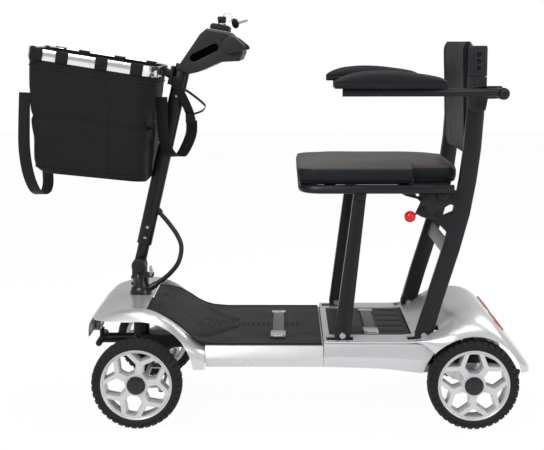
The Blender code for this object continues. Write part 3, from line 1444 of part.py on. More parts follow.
def post_cap(side):
    """Moulded cap with a bracket down the post's outer side and the armrest's spindle."""
    y0, y1 = sorted((side * LEG_IN, side * (BRACKET_IN + BRACKET_T)))
    cap = box(CAP_X0, CAP_X1, y0, y1, POST_TOP + FIT, CAP_TOP)
    b0, b1 = sorted((side * BRACKET_IN, side * (BRACKET_IN + BRACKET_T)))
    cap = fuse(cap, side_plate([(CAP_X0 + 0.001, POST_TOP + 0.01), (CAP_X0 + 0.001, 0.694),
                                (CAP_X1 - 0.001, 0.694),
                                (ARM_PIVOT.x + 0.012, ARM_PIVOT.z - 0.012), (ARM_PIVOT.x + 0.012,
                                                                             ARM_PIVOT.z + 0.012),
                                (CAP_X1 - 0.001, POST_TOP + 0.01)], b0 + 0.0002, b1 - 0.0002))
    sleeve_end = ARM_HALF_Y - ARM_BAR / 2 - FIT
    spindle_end = ARM_HALF_Y + ARM_BAR / 2 + 0.002
    sleeve = rod((ARM_PIVOT.x, side * (BRACKET_IN + 0.002), ARM_PIVOT.z),
                 (ARM_PIVOT.x, side * sleeve_end, ARM_PIVOT.z), 0.0105, WIDE_SIDES)
    spindle = rod((ARM_PIVOT.x, side * (BRACKET_IN + 0.003), ARM_PIVOT.z),
                  (ARM_PIVOT.x, side * spindle_end, ARM_PIVOT.z), ARM_PIN_R, PIN_SIDES)
    cap = fuse(cap, sleeve, spindle)
    face = side * (BRACKET_IN + BRACKET_T)
    for z in (0.786, 0.802, 0.818):
        x = (CAP_X0 + CAP_X1) / 2
        cap = cut(cap, rod((x, face - side * 0.003, z), (x, face + side * 0.01, z), 0.0052, PIN_SIDES))
    for k in range(4):
        z = 0.699 + k * 0.008
        cap = cut(cap, box(CAP_X0 - 0.01, CAP_X0 + 0.030, min(face - side * 0.0018, face + side * 0.01),
                           max(face - side * 0.0018, face + side * 0.01), z, z + 0.0035))
    return cap


def arm_bar(side):
    y = side * ARM_HALF_Y
    half = ARM_BAR / 2
    front = ARM_PIVOT.x + 0.0099 - ARM_LENGTH
    z = ARM_PIVOT.z + 0.0028
    bar = sweep([(front, y, z), (ARM_PIVOT.x + 0.004, y, z)], oval(ARM_BAR, ARM_BAR - 0.0004, 0.003, 2))
    heel = side_plate(arc(ARM_PIVOT.x, ARM_PIVOT.z, 0.0125, 0, 360, 20)[:-1], y - half + 0.0003,
                      y + half - 0.0003)
    bar = fuse(bar, heel)
    return cut(bar, running_hole((ARM_PIVOT.x, y - 0.03, ARM_PIVOT.z), (ARM_PIVOT.x, y + 0.03, ARM_PIVOT.z),
                                 ARM_PIN_R, PIN_SIDES))


PAD_HALF = 0.030
PAD_LENGTH = 0.232
PAD_T = 0.036


def arm_pad(side):
    """Domed armrest pad with a straight lip under its crown."""
    y = side * (ARM_HALF_Y + 0.0095)
    x0 = ARM_PIVOT.x + 0.0099 - ARM_LENGTH - 0.0170
    low = ARM_PIVOT.z + 0.0028 + ARM_BAR / 2 + FIT
    rings = []
    for along, wide, high in ((0.0, 0.80, 0.55), (0.010, 0.95, 0.84), (0.035, 1.0, 1.0),
                              (0.5 * PAD_LENGTH, 1.0, 1.03),
                              (PAD_LENGTH - 0.035, 1.0, 0.98), (PAD_LENGTH - 0.010, 0.95,
                                                                0.80), (PAD_LENGTH, 0.80, 0.50)):
        w = PAD_HALF * wide
        top = low + PAD_T * high
        lip = low + 0.012 * min(1.0, high)
        half_ring = [(w - 0.004, low), (w, low + 0.003), (w, lip), (w * 0.90, lip + (top - lip) * 0.55),
                     (w * 0.60, lip + (top - lip) * 0.90), (0.0, top)]
        left = [(-a, b) for a, b in reversed(half_ring[:-1])]
        rings.append([(x0 + along, y + a, b) for a, b in half_ring + left])
    return loft(rings)


for label, side in (("left", -1), ("right", 1)):
    arm_origin = (ARM_PIVOT.x, side * ARM_HALF_Y, ARM_PIVOT.z)
    node("post_cap_" + label, post_cap(side), PLASTIC, PIVOT_D)
    node("arm_bar_" + label, arm_bar(side), BLACK, arm_origin)
    node("arm_pad_" + label, arm_pad(side), VINYL, arm_origin)


# Fold lock on the near gusset

LEVER_T = 0.0045
LEVER_Y = -(LEG_OUT + 0.0005 + LEVER_T / 2)
BALL_R = 0.0125
BALL = Vector((XR - 0.1420, -(LEG_OUT + BALL_R + 0.0015), 0.4690))
STUD_R = 0.0022


def lever_line():
    """Pivot, knee and the direction in which the stud leaves the knee for the ball."""
    start = Vector((LEVER.x, LEVER_Y, LEVER.z))
    knee = start.lerp(Vector((BALL.x, LEVER_Y, BALL.z)), 0.45)
    return start, knee, (BALL - knee).normalized()


def lock_lever():
    """Plate on the gusset's pin with a stud that leans out to the ball."""
    start, knee, out = lever_line()
    plate = rod((LEVER.x, LEVER_Y - LEVER_T / 2, LEVER.z), (LEVER.x, LEVER_Y + LEVER_T / 2, LEVER.z),
                0.0075, WIDE_SIDES)
    arm = sweep([start, knee], oval(LEVER_T - 0.0004, 0.009, 0.001, 1))
    stud = rod(knee, BALL - out * (BALL_R - 0.007), STUD_R, SMALL_SIDES)
    pin = rod((LEVER.x, LEVER_Y, LEVER.z), (LEVER.x, -(LEG_OUT - GUSSET_T - 0.002), LEVER.z), LEVER_PIN_R,
              PIN_SIDES)
    return fuse(plate, arm, stud, pin)


def lever_ball():
    start, knee, out = lever_line()
    steps = 8
    profile = []
    for k in range(1, steps):
        t = math.pi * k / steps
        profile.append((BALL_R * math.sin(t), -BALL_R * math.cos(t)))
    ball = revolve(profile, BALL, out)
    return cut(ball, running_hole(BALL - out * 0.03, BALL - out * (BALL_R - 0.008), STUD_R, SMALL_SIDES))


node("lock_lever", lock_lever(), STEEL, (LEVER.x, LEVER_Y, LEVER.z))
node("lever_ball", lever_ball(), RED, (LEVER.x, LEVER_Y, LEVER.z))
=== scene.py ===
"""Folding mobility scooter: surfaces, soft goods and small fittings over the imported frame."""
import math

import bmesh
import bpy
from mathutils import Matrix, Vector, noise


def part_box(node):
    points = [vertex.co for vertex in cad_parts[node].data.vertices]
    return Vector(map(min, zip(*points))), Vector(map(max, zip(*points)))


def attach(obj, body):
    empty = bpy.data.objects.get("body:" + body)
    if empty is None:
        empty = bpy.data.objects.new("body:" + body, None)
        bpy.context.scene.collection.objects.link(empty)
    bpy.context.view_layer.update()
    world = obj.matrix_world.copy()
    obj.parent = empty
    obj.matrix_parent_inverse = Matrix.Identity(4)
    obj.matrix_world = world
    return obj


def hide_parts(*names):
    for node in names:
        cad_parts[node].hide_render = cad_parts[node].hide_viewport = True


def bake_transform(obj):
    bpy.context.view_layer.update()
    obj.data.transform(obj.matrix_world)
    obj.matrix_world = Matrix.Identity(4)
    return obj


bl_info = {
    "name": "Folding Mobility Scooter",
    "version": (1, 0, 0),
    "blender": (4, 5, 0),
    "location": "View3D > Sidebar > Scooter",
    "description": "Finishes, soft goods and fittings of a jointed four-wheel scooter",
    "category": "Object",
}

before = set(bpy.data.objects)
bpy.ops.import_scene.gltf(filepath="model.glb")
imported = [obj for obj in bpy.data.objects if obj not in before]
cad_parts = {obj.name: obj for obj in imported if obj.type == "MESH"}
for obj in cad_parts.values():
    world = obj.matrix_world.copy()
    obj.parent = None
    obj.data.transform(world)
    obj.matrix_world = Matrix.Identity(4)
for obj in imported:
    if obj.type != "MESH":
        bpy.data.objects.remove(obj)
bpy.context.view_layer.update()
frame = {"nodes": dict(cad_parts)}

# Places shared with the frame, metres, +X to the rear and -Y on the rider's left
XF = -0.307
XR = 0.433
AXLE_Z = 0.100
WHEEL_Y = 0.220
SEAM_F = XF + 0.150
SEAM_R = XR - 0.328
SEAM = 0.0006
BODY_HALF = 0.220
DECK_Z = 0.186
PAN_TOP = 0.182
BELLY_Z = 0.130
SPLIT_Z = 0.187
COLUMN_X = XF - 0.014
HINGE = Vector((XF - 0.016, 0.0, 0.3275))
LEAN = math.radians(13.2)
STEM_UP = Vector((math.sin(LEAN), 0.0, math.cos(LEAN)))
LEG_Y = 0.180
LEG_OUT = 0.1925
LEG_IN = 0.1675
PIVOT_A = Vector((XR - 0.286, 0.0, 0.2005))
PIVOT_D = Vector((XR - 0.106, 0.0, 0.2005))
PIVOT_B = PIVOT_A + Vector((0.0367, 0.0, 0.316))
PIVOT_C = PIVOT_D + Vector((0.0367, 0.0, 0.316))
SIDES = (("left", -1), ("right", 1))
FLANKS = (-1, 1)
OUTSIDE = 0.30
WELD_GAP = 0.00001
FITTING_EDGE = 30.0
FINISHES = {}


def look():
    """Colours and light set in the sidebar."""
    return bpy.context.scene.scooter_look


def trim():
    """Counts and small sizes set in the sidebar."""
    return bpy.context.scene.scooter_trim


# Shader maths

class Link:
    """A node's output socket; Python's operators on it add Math nodes."""

    def __init__(self, finish, socket):
        self.finish = finish
        self.socket = socket

    def math(self, operation, first, second):
        return self.finish.node("Math", {"operation": operation}, {0: first, 1: second})

    def __add__(self, other):
        return self.math("ADD", self, other)

    def __sub__(self, other):
        return self.math("SUBTRACT", self, other)

    def __rsub__(self, other):
        return self.math("SUBTRACT", other, self)

    def __mul__(self, other):
        return self.math("MULTIPLY", self, other)

    __radd__ = __add__
    __rmul__ = __mul__

    def high(self, other):
        return self.math("MAXIMUM", self, other)

    def wave(self, pitch):
        """Sine of this length over a pitch, from 0 to 1."""
        turn = self * (2 * math.pi / pitch)
        return self.finish.node("Math", {"operation": "SINE"}, {0: turn}) * 0.5 + 0.5


class Finish:
    """A material with one Principled shader, built from plain settings and links."""

    def __init__(self, name, colour, roughness, metallic=0.0, **fixed):
        self.material = bpy.data.materials.new(name)
        self.material.use_nodes = True
        self.tree = self.material.node_tree
        self.shader = self.tree.nodes["Principled BSDF"]
        self.colour = tuple(colour)
        self.roughness = roughness
        self.put({"Base Color": (*self.colour, 1.0), "Roughness": roughness, "Metallic": metallic})
        self.put({key.replace("_", " ").title().replace("Ior", "IOR"): value
                  for key, value in fixed.items()})
        FINISHES[name] = self

    def put(self, values, target=None):
        for key, value in values.items():
            socket = (target or self.shader).inputs[key]
            if isinstance(value, Link):
                self.tree.links.new(value.socket, socket)
            else:
                socket.default_value = value

    def node(self, kind, settings=None, values=None, out=0):
        made = self.tree.nodes.new("ShaderNode" + kind)
        for key, value in (settings or {}).items():
            setattr(made, key, value)
        self.put(values or {}, made)
        return Link(self, made.outputs[out])

    def place(self):
        return self.node("TexCoord", out="Object")

    def axes(self):
        split = self.node("SeparateXYZ", None, {0: self.place()})
        outputs = split.socket.node.outputs
        return [Link(self, outputs[k]) for k in range(3)]

    def cloud(self, scale, detail=3.0, rough=0.55, place=None):
        values = {"Vector": place or self.place(), "Scale": scale, "Detail": detail, "Roughness": rough}
        return self.node("TexNoise", None, values, "Fac")

    def cells(self, scale):
        values = {"Vector": self.place(), "Scale": scale}
        return self.node("TexVoronoi", {"feature": "F1"}, values, "Distance")

    def spread(self, value, low, high):
        """Stretch a value so that low becomes 0 and high becomes 1."""
        values = {"Value": value, "From Min": low, "From Max": high}
        return self.node("MapRange", {"clamp": True}, values)

    def tint(self, amount, first, second):
        """Mix two colours by a value."""
        settings = {"data_type": "RGBA", "blend_type": "MIX"}
        shades = [c if isinstance(c, Link) else (*c, 1.0) for c in (first, second)]
        return self.node("Mix", settings, {0: amount, 6: shades[0], 7: shades[1]}, 2)

    def shade(self, amount, gain):
        """This finish's own colour, brightened by a gain where the amount is 1."""
        return self.tint(amount, self.colour, tuple(min(1.0, c * gain) for c in self.colour))

    def bump(self, height, strength, depth=0.001):
        normal = self.node("Bump", None, {"Height": height, "Strength": strength, "Distance": depth})
        self.put({"Normal": normal})

    def rough(self, amount, change):
        self.put({"Roughness": amount * change + (self.roughness - change / 2)})


def finish(name):
    return FINISHES[name].material


def speckle(made, scale, strength, depth):
    """Fine grain of a moulded or powder-coated surface, with a faint change of gloss."""
    grain = made.cloud(scale, 2.0)
    broad = made.cloud(9.0, 4.0)
    made.bump(grain, strength, depth)
    made.rough(broad, 0.14)
    return broad


def paint_finishes():
    """Paints, moulded plastics and metals."""
    shades = look()
    silver = Finish("silver_paint", shades.silver, 0.30, 0.55, coat_weight=0.35, coat_roughness=0.08)
    flake = silver.spread(silver.cells(1900.0), 0.1, 0.75)
    dust = silver.spread(silver.cloud(5.0, 5.0), 0.35, 0.75)
    silver.put({"Base Color": silver.tint(flake * 0.45 + dust * 0.2, shades.silver, shades.silver_deep)})
    silver.bump(silver.cloud(240.0, 1.0), 0.03, 0.0004)
    silver.rough(dust, 0.08)

    wheel = Finish("wheel_silver", shades.wheel, 0.36, 0.35)
    broad = speckle(wheel, 900.0, 0.05, 0.0004)
    wheel.put({"Base Color": wheel.shade(wheel.spread(broad, 0.3, 0.7), 0.90)})

    black = Finish("black_satin", shades.frame, 0.36, specular_ior_level=0.26)
    broad = speckle(black, 1500.0, 0.10, 0.0004)
    scuff = black.spread(black.cloud(160.0, 6.0, 0.7), 0.66, 0.74) * black.spread(broad, 0.5, 0.7)
    black.put({"Base Color": black.shade(scuff * 0.5, 2.2)})

    plastic = Finish("black_plastic", shades.plastic, 0.50, specular_ior_level=0.26)
    broad = speckle(plastic, 1900.0, 0.16, 0.0005)
    plastic.put({"Base Color": plastic.shade(plastic.spread(broad, 0.35, 0.75), 1.35)})

    gloss = Finish("gloss_black", shades.frame, 0.26, specular_ior_level=0.42)
    gloss.rough(gloss.cloud(30.0), 0.12)
    gloss.put({"Base Color": gloss.shade(gloss.cloud(14.0), 1.3)})

    band = Finish("bright_aluminium", (0.86, 0.87, 0.88), 0.20, 1.0)
    drawn = band.node("VectorMath", {"operation": "MULTIPLY"}, {0: band.place(), 1: (0.05, 0.05, 1.0)})
    grain = band.cloud(420.0, 2.0, 0.5, drawn)
    band.bump(grain, 0.05, 0.0003)
    band.rough(grain, 0.12)
    band.put({"Base Color": band.tint(band.cloud(40.0, 4.0), (0.88, 0.89, 0.90), (0.74, 0.75, 0.77))})

    steel = Finish("zinc_steel", (0.52, 0.53, 0.54), 0.34, 0.95)
    patch = steel.cells(260.0)
    steel.put({"Base Color": steel.tint(patch, (0.58, 0.59, 0.60), (0.40, 0.41, 0.42))})
    steel.rough(steel.cloud(120.0), 0.18)

    grey = Finish("grey_steel", (0.13, 0.126, 0.125), 0.42, 0.5)
    grey.rough(grey.cloud(120.0), 0.16)
    grey.put({"Base Color": grey.shade(grey.cloud(34.0, 4.0), 1.5)})

    red = Finish("red_gloss", shades.red, 0.20, specular_ior_level=0.45)
    red.put({"Base Color": red.shade(red.cloud(60.0), 0.8)})
    red.rough(red.cloud(80.0), 0.08)

    lens = Finish("red_lens", (0.55, 0.010, 0.014), 0.12, 0.0, coat_weight=0.8, coat_roughness=0.04)
    _, deep, up = lens.axes()
    prism = deep.wave(0.004) * up.wave(0.004)
    lens.put({"Base Color": lens.tint(prism, (0.42, 0.006, 0.010), (0.75, 0.03, 0.03))})
    lens.bump(prism, 0.25, 0.0006)

    lamp = Finish("smoked_lens", (0.016, 0.017, 0.020), 0.10, 0.0, coat_weight=0.8, coat_roughness=0.03)
    _, deep, _ = lamp.axes()
    lamp.put({"Base Color": lamp.tint(deep.wave(0.009), (0.012, 0.013, 0.015), (0.05, 0.052, 0.056))})


def soft_finishes():
    """Rubber, vinyl, nylon and webbing."""
    shades = look()
    tyre = Finish("tyre_rubber", shades.rubber, 0.72, specular_ior_level=0.22)
    dust = tyre.spread(tyre.cloud(18.0, 5.0, 0.6), 0.42, 0.8)
    tyre.put({"Base Color": tyre.shade(dust * 0.6, 1.8)})
    tyre.bump(tyre.cloud(1300.0, 2.0), 0.18, 0.0006)
    tyre.rough(dust, 0.16)

    mat = Finish("mat_rubber", shades.rubber, 0.56, specular_ior_level=0.22)
    worn = mat.spread(mat.cloud(11.0, 5.0, 0.6), 0.40, 0.75)
    mat.put({"Base Color": mat.shade(worn * 0.7, 1.5)})
    mat.bump(mat.cloud(1500.0, 2.0), 0.20, 0.0005)
    mat.rough(worn, 0.2)

    # The seat's top takes a lighter, warmer copy of the vinyl than its sides, backrest and arm pads: painted
    # light on the top of one dark vinyl, and painted shade on its sides.
    for name, colour, roughness, shine in (("seat_vinyl", shades.vinyl, 0.46, 0.20),
                                           ("back_vinyl", shades.vinyl_side, 0.56, 0.12)):
        vinyl = Finish(name, colour, roughness, specular_ior_level=shine)
        pebble = vinyl.cells(620.0)
        fold = vinyl.cloud(260.0, 4.0, 0.6)
        vinyl.bump(pebble + fold * 0.6, 0.22, 0.0006)
        rub = vinyl.spread(vinyl.cloud(7.0, 4.0), 0.40, 0.72)
        vinyl.put({"Base Color": vinyl.shade(rub * 0.6 + pebble * 0.3, 1.55)})
        vinyl.rough(rub, 0.14)

    nylon = Finish("black_nylon", shades.nylon, 0.70, specular_ior_level=0.16)
    across, deep, up = nylon.axes()
    weft = (across + deep).wave(0.0011)
    warp = up.wave(0.0011)
    weave = weft * (1 - warp) + warp * (1 - weft)
    slub = nylon.cloud(90.0, 4.0)
    nylon.bump(weave + slub * 0.3, 0.30, 0.0005)
    nylon.put({"Base Color": nylon.shade(weave * 0.5 + slub * 0.4, 1.7)})
    nylon.rough(slub, 0.14)

    web = Finish("webbing", shades.nylon, 0.66, specular_ior_level=0.18)
    across, deep, up = web.axes()
    twill = (across * 0.7 + deep + up * 1.3).wave(0.0024)
    rib = (across + deep * 0.6 - up).wave(0.0017)
    web.bump(twill + rib * 0.6, 0.5, 0.0006)
    web.put({"Base Color": web.shade(twill * 0.6 + rib * 0.3, 2.2)})
    web.rough(web.cloud(60.0), 0.12)

    grey = Finish("grey_webbing", (0.085, 0.083, 0.088), 0.62, sheen_weight=0.15)
    across, deep, _ = grey.axes()
    twill = (across * 1.4 + deep).wave(0.0022)
    grey.bump(twill, 0.5, 0.0006)
    grey.put({"Base Color": grey.shade(twill, 0.6)})

    thread = Finish("seam_thread", (0.030, 0.030, 0.032), 0.6)
    thread.put({"Base Color": thread.shade(thread.cloud(900.0), 2.0)})
    thread.bump(thread.cloud(2400.0), 0.3, 0.0003)


# Mesh helpers

def frame_of(axis):
    """Two unit vectors across an axis."""
    ahead = Vector(axis).normalized()
    hint = Vector((0.0, 0.0, 1.0)) if abs(ahead.z) < 0.9 else Vector((1.0, 0.0, 0.0))
    across = hint.cross(ahead).normalized()
    return across, ahead.cross(across)


def curve_through(points, steps):
    """A smooth line through points of any length of numbers."""
    points = [Vector(p) for p in points]
    ends = [points[0] * 2 - points[1]] + points + [points[-1] * 2 - points[-2]]
    line = []
    for k in range(1, len(ends) - 2):
        p0, p1, p2, p3 = ends[k - 1:k + 3]
        for j in range(steps):
            t = j / steps
            line.append(0.5 * (2 * p1 + (p2 - p0) * t + (2 * p0 - 5 * p1 + 4 * p2 - p3) * t * t
                               + (3 * p1 - p0 - 3 * p2 + p3) * t ** 3))
    return line + [points[-1]]


def rows_through(rows, steps):
    """Smooth rows of plain numbers, for stations with more than four values."""
    heads = curve_through([row[:4] for row in rows], steps)
    tails = curve_through([(*row[4:], 0.0, 0.0, 0.0)[:4] for row in rows], steps)
    width = len(rows[0])
    return [(*head, *tail)[:width] for head, tail in zip(heads, tails)]


def oval(width, height, corner, steps=5):
    """Rounded rectangle of (side, up) points."""
    points = []
    for sx, sy, start in ((1, 1, 0), (-1, 1, 90), (-1, -1, 180), (1, -1, 270)):
        for k in range(steps + 1):
            t = math.radians(start + 90 * k / steps)
            points.append((sx * (width / 2 - corner) + corner * math.cos(t),
                           sy * (height / 2 - corner) + corner * math.sin(t)))
    return points


def circle(radius, sides=20):
    return [(radius * math.cos(2 * math.pi * k / sides), radius * math.sin(2 * math.pi * k / sides))
            for k in range(sides)]


class Form:
    """Closed shells gathered into one mesh."""

    def __init__(self):
        self.verts = []
        self.faces = []
        self.coats = []
        self.coat = 0

    def add(self, verts, faces):
        base = len(self.verts)
        self.verts += [tuple(v) for v in verts]
        self.faces += [tuple(base + k for k in face) for face in faces]
        self.coats += [self.coat] * len(faces)
        return self

    def loft(self, rings, closed=False):
        """Skin a row of rings of equal length."""
        size = len(rings[0])
        verts = [point for ring in rings for point in ring]
        faces = []
        spans = len(rings) if closed else len(rings) - 1
        for i in range(spans):
            here = i * size
            there = (i + 1) % len(rings) * size
            for j in range(size):
                nxt = (j + 1) % size
                faces.append((here + j, here + nxt, there + nxt, there + j))
        if not closed:
            faces.append(tuple(reversed(range(size))))
            faces.append(tuple(range(len(verts) - size, len(verts))))
        return self.add(verts, faces)

    def sweep(self, path, outline, up=(0, 1, 0), closed=False):
        """Carry an outline of (side, up) points along a path; up is fixed in space."""
        path = [Vector(p) for p in path]
        count = len(path)
        rings = []
        for k, point in enumerate(path):
            before = path[k - 1] if k or closed else path[k]
            after = path[(k + 1) % count] if k < count - 1 or closed else path[k]
            ahead = (after - before).normalized()
            side = Vector(up) - ahead * ahead.dot(Vector(up))
            side = side.normalized() if side.length > 1e-6 else frame_of(ahead)[0]
            rise = ahead.cross(side)
            rings.append([point + side * a + rise * b for a, b in outline])
        return self.loft(rings, closed)

    def lathe(self, profile, centre, axis, sides=48, closed=False, start=0.0):
        """Turn (radius, along) points round an axis."""
        across, up = frame_of(axis)
        ahead = Vector(axis).normalized()
        centre = Vector(centre)
        turns = [start + 2 * math.pi * k / sides for k in range(sides)]
        rings = [[centre + ahead * along + across * (radius * math.cos(t)) + up * (radius * math.sin(t))
                  for t in turns] for radius, along in profile]
        return self.loft(rings, closed)

    def rod(self, start, end, radius, sides=20):
        ahead = Vector(end) - Vector(start)
        return self.lathe([(radius, 0.0), (radius, ahead.length)], start, ahead, sides)

    def plate(self, outline, y0, y1):
        """Side outline of (x, z) points, carried across from y0 to y1."""
        return self.loft([[(x, y, z) for x, z in outline] for y in (y0, y1)])

    def slab(self, outline, z0, z1):
        """Plan outline of (x, y) points, carried up from z0 to z1."""
        return self.loft([[(x, y, z) for x, y in outline] for z in (z0, z1)])

    def block(self, low, high):
        (x0, y0, z0), (x1, y1, z1) = low, high
        return self.plate([(x0, z0), (x1, z0), (x1, z1), (x0, z1)], y0, y1)

    def bolt(self, head, axis, radius, height, drive=True):
        """Domed cap screw with a six-sided socket."""
        dome = [(radius, 0.0), (radius, height * 0.55), (radius * 0.86, height * 0.85),
                (radius * 0.56, height)]
        if drive:
            dome += [(radius * 0.50, height), (radius * 0.46, height * 0.45)]
        return self.lathe(dome, head, axis, 18)

    def hexagon(self, head, axis, radius, height):
        """Six-sided nut with a turned-down crown."""
        profile = [(radius, 0.0), (radius, height * 0.8), (radius * 0.88, height)]
        return self.lathe(profile, head, axis, 6)

    def mesh(self, name):
        shape = bmesh.new()
        verts = [shape.verts.new(v) for v in self.verts]
        for face, coat in zip(self.faces, self.coats):
            made = shape.faces.new([verts[k] for k in face])
            made.material_index = coat
        bmesh.ops.recalc_face_normals(shape, faces=shape.faces)
        mesh = bpy.data.meshes.new(name)
        shape.to_mesh(mesh)
        shape.free()
        return mesh

    def object(self, name):
        made = bpy.data.objects.new(name, self.mesh(name))
        bpy.context.scene.collection.objects.link(made)
        return made


def applied(item):
    """The object with its modifiers made into its mesh."""
    graph = bpy.context.evaluated_depsgraph_get()
    mesh = bpy.data.meshes.new_from_object(item.evaluated_get(graph))
    item.modifiers.clear()
    item.data = mesh
    return item


def carve(item, *forms, operation="DIFFERENCE"):
    """Cut forms out of an object, or join them to it."""
    for form in forms:
        tool = form.object("carver")
        step = item.modifiers.new("carve", "BOOLEAN")
        step.operation = operation
        step.solver = "EXACT"
        step.object = tool
        applied(item)
        bpy.data.objects.remove(tool, do_unlink=True)
    return item


def shade(item, angle=35.0):
    item.data.shade_smooth()
    item.data.set_sharp_from_angle(angle=math.radians(angle))
    return item


def soften(item, width, angle=35.0):
    """Round the edges of a piece."""
    edge = item.modifiers.new("edge", "BEVEL")
    edge.width = width
    edge.segments = 2
    edge.limit_method = "ANGLE"
    edge.angle_limit = math.radians(angle)
    edge.use_clamp_overlap = True
    return item


def piece(shape, name, body, coats, replaces=(), bevel=0.0, angle=35.0):
    """Turn a form or an object into a finished piece that rides a body."""
    item = shape.object(name) if isinstance(shape, Form) else shape
    item.name = name
    item.data.name = name
    coats = (coats,) if isinstance(coats, str) else coats
    indices = [min(face.material_index, len(coats) - 1) for face in item.data.polygons]
    item.data.materials.clear()
    for coat in coats:
        item.data.materials.append(finish(coat))
    item.data.polygons.foreach_set("material_index", indices)
    if bevel:
        soften(item, bevel)
    shade(item, angle)
    if body:
        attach(item, body)
    if replaces:
        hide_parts(*((replaces,) if isinstance(replaces, str) else replaces))
    return item


def coat_nodes(coat, *names, bevel=0.0, angle=40.0):
    """Give carried-over nodes of the frame their finish and softened edges."""
    for name in names:
        item = frame["nodes"][name]
        item.data.materials.clear()
        item.data.materials.append(finish(coat))
        shade(item, angle)
        if bevel:
            weld = item.modifiers.new("weld", "WELD")
            weld.merge_threshold = WELD_GAP
            soften(item, bevel, 40.0)


# Body shells: wall, rings and curve power of a skin, wheel arches, and heights the cutters reach

WALL = 0.003
RING_STEPS = 22
ARCH_SIDES = 96
FAIR = 5.0
FRONT_ARCH_Z = 0.113
FRONT_ARCH_R = 0.125
COLUMN_HOLE_R = 0.0275
CUT_LOW = 0.15
CUT_HIGH = 0.30
REAR_ARCH_R = 0.109
FENDER_Y = 0.196
FENDER_SPREAD = 0.030


def shell_ring(x, half, top, bottom, power, crown=0.0):
    """Cross-section of a fairing: a flat-topped arch whose fenders may stand higher by crown."""
    points = []
    for k in range(2 * RING_STEPS + 1):
        t = math.pi * k / (2 * RING_STEPS)
        c = math.cos(t)
        y = -half * math.copysign(abs(c) ** (2 / power), c)
        share = abs(math.sin(t)) ** (2 / power)
        swell = crown * share ** 2 * math.exp(-((abs(y) - FENDER_Y) / FENDER_SPREAD) ** 2)
        points.append((x, y, bottom + (top - bottom) * share + swell))
    return points


def skin_of(rows, shifts, name):
    """Open-bottomed skin through stations of (x, half width, top, bottom, power and maybe crown)."""
    outer = Form().loft([shell_ring(*row) for row in rows]).object(name)
    inner = []
    last = len(rows) - 1
    for k, (x, half, top, low, *form) in enumerate(rows):
        dx = shifts[0] if k == 0 else shifts[1] if k == last else 0.0
        inner.append(shell_ring(x + dx, half - WALL, top - WALL, low - WALL, *form))
    return carve(outer, Form().loft(inner))


def arch_tools(x, z, radius, y_in, forward):
    """Cutters for a pair of wheel arches; a forward arch is open at the nose."""
    tools = []
    for side in FLANKS:
        tools.append(Form().rod((x, side * y_in, z), (x, side * OUTSIDE, z), radius, ARCH_SIDES))
        if forward:
            low, high = sorted((side * y_in, side * OUTSIDE))
            tools.append(Form().block((x - 0.2, low, -0.05), (x, high, z + radius - 0.0006)))
    return tools


def floor_line(lift):
    """Top line of the floor from the column foot back to the battery."""
    rise = [(0.016, 0.0640), (0.051, 0.0580), (0.086, 0.0400), (0.116, 0.0170), (0.141, 0.0045),
            (0.181, 0.0)]
    points = [(XF + dx, DECK_Z + dz + lift) for dx, dz in rise]
    return points + [(SEAM_R - 0.004, DECK_Z + lift)]


def smooth_floor(lift, steps=5):
    """The floor's line with its bends rounded; it ends flat behind the rise."""
    points = floor_line(lift)
    line = [(p.x, p.y) for p in curve_through(points[:-1], steps)]
    flat = DECK_Z + lift
    return [(x, max(z, flat)) for x, z in line] + [points[-1]]


def front_fairing():
    """Nose with two fenders, a dished tray for the floor, a column hole and a lamp opening."""
    out = WHEEL_Y + 0.025
    rows = [
        (XF - 0.120, 0.120, 0.206, 0.184, FAIR, 0.0),
        (XF - 0.113, 0.176, 0.226, 0.182, FAIR, 0.002),
        (XF - 0.096, out - 0.022, 0.243, 0.166, FAIR, 0.006),
        (XF - 0.060, out - 0.006, 0.254, BELLY_Z, FAIR, 0.011),
        (XF - 0.014, out - 0.002, 0.2585, BELLY_Z, FAIR, 0.014),
        (XF + 0.030, out - 0.004, 0.252, BELLY_Z, FAIR, 0.014),
        (XF + 0.070, out - 0.010, 0.234, BELLY_Z, FAIR, 0.010),
        (XF + 0.105, BODY_HALF + 0.006, 0.208, BELLY_Z, FAIR, 0.004),
        (XF + 0.132, BODY_HALF + 0.001, DECK_Z + 0.003, BELLY_Z, FAIR, 0.0),
        (SEAM_F - SEAM / 2, BODY_HALF, PAN_TOP, BELLY_Z, FAIR, 0.0),
    ]
    skin = skin_of(rows_through(rows, 4), (WALL, WALL), "front_fairing_skin")
    carve(skin, *arch_tools(XF, FRONT_ARCH_Z, FRONT_ARCH_R, 0.142, True))
    tray = smooth_floor(-0.004)
    tray = [p for p in tray if p[0] < SEAM_F - 0.01] + [(SEAM_F - SEAM / 2, PAN_TOP)]
    above = tray + [(SEAM_F - SEAM / 2, CUT_HIGH), (tray[0][0], CUT_HIGH)]
    carve(skin, Form().plate(above, -0.180, 0.180))
    pan = tray + [(x, z - WALL) for x, z in reversed(tray)]
    carve(skin, Form().plate(pan, -0.181, 0.181), operation="UNION")
    carve(skin, Form().rod((COLUMN_X, 0, 0.17), (COLUMN_X, 0, CUT_HIGH), COLUMN_HOLE_R, 48))
    carve(skin, Form().block((XF - 0.2, -0.052, 0.1795), (XF - 0.104, 0.052, 0.2035)))
    piece(skin, "front_fairing_skin", "chassis", "silver_paint", "front_fairing", angle=32.0)


def side_slice(x, half, top, bottom, crease):
    """Closed cross-section of the floor body: flat top, convex creased sides, flat belly."""
    middle = (top + bottom) / 2
    lower = [(half - 0.026, bottom), (half - 0.020, bottom + 0.004), (half - 0.0082, bottom + 0.0165),
             (half - 0.0006, middle - 0.0012)]
    upper = [(half, middle + 0.0006), (half - crease * 0.45, middle + (top - middle) * 0.5),
             (half - crease, top - 0.003), (half - crease - 0.0012, top - 0.0011),
             (half - crease - 0.004, top)]
    right = lower + upper
    return [(x, y, z) for y, z in right] + [(x, -y, z) for y, z in reversed(right)]


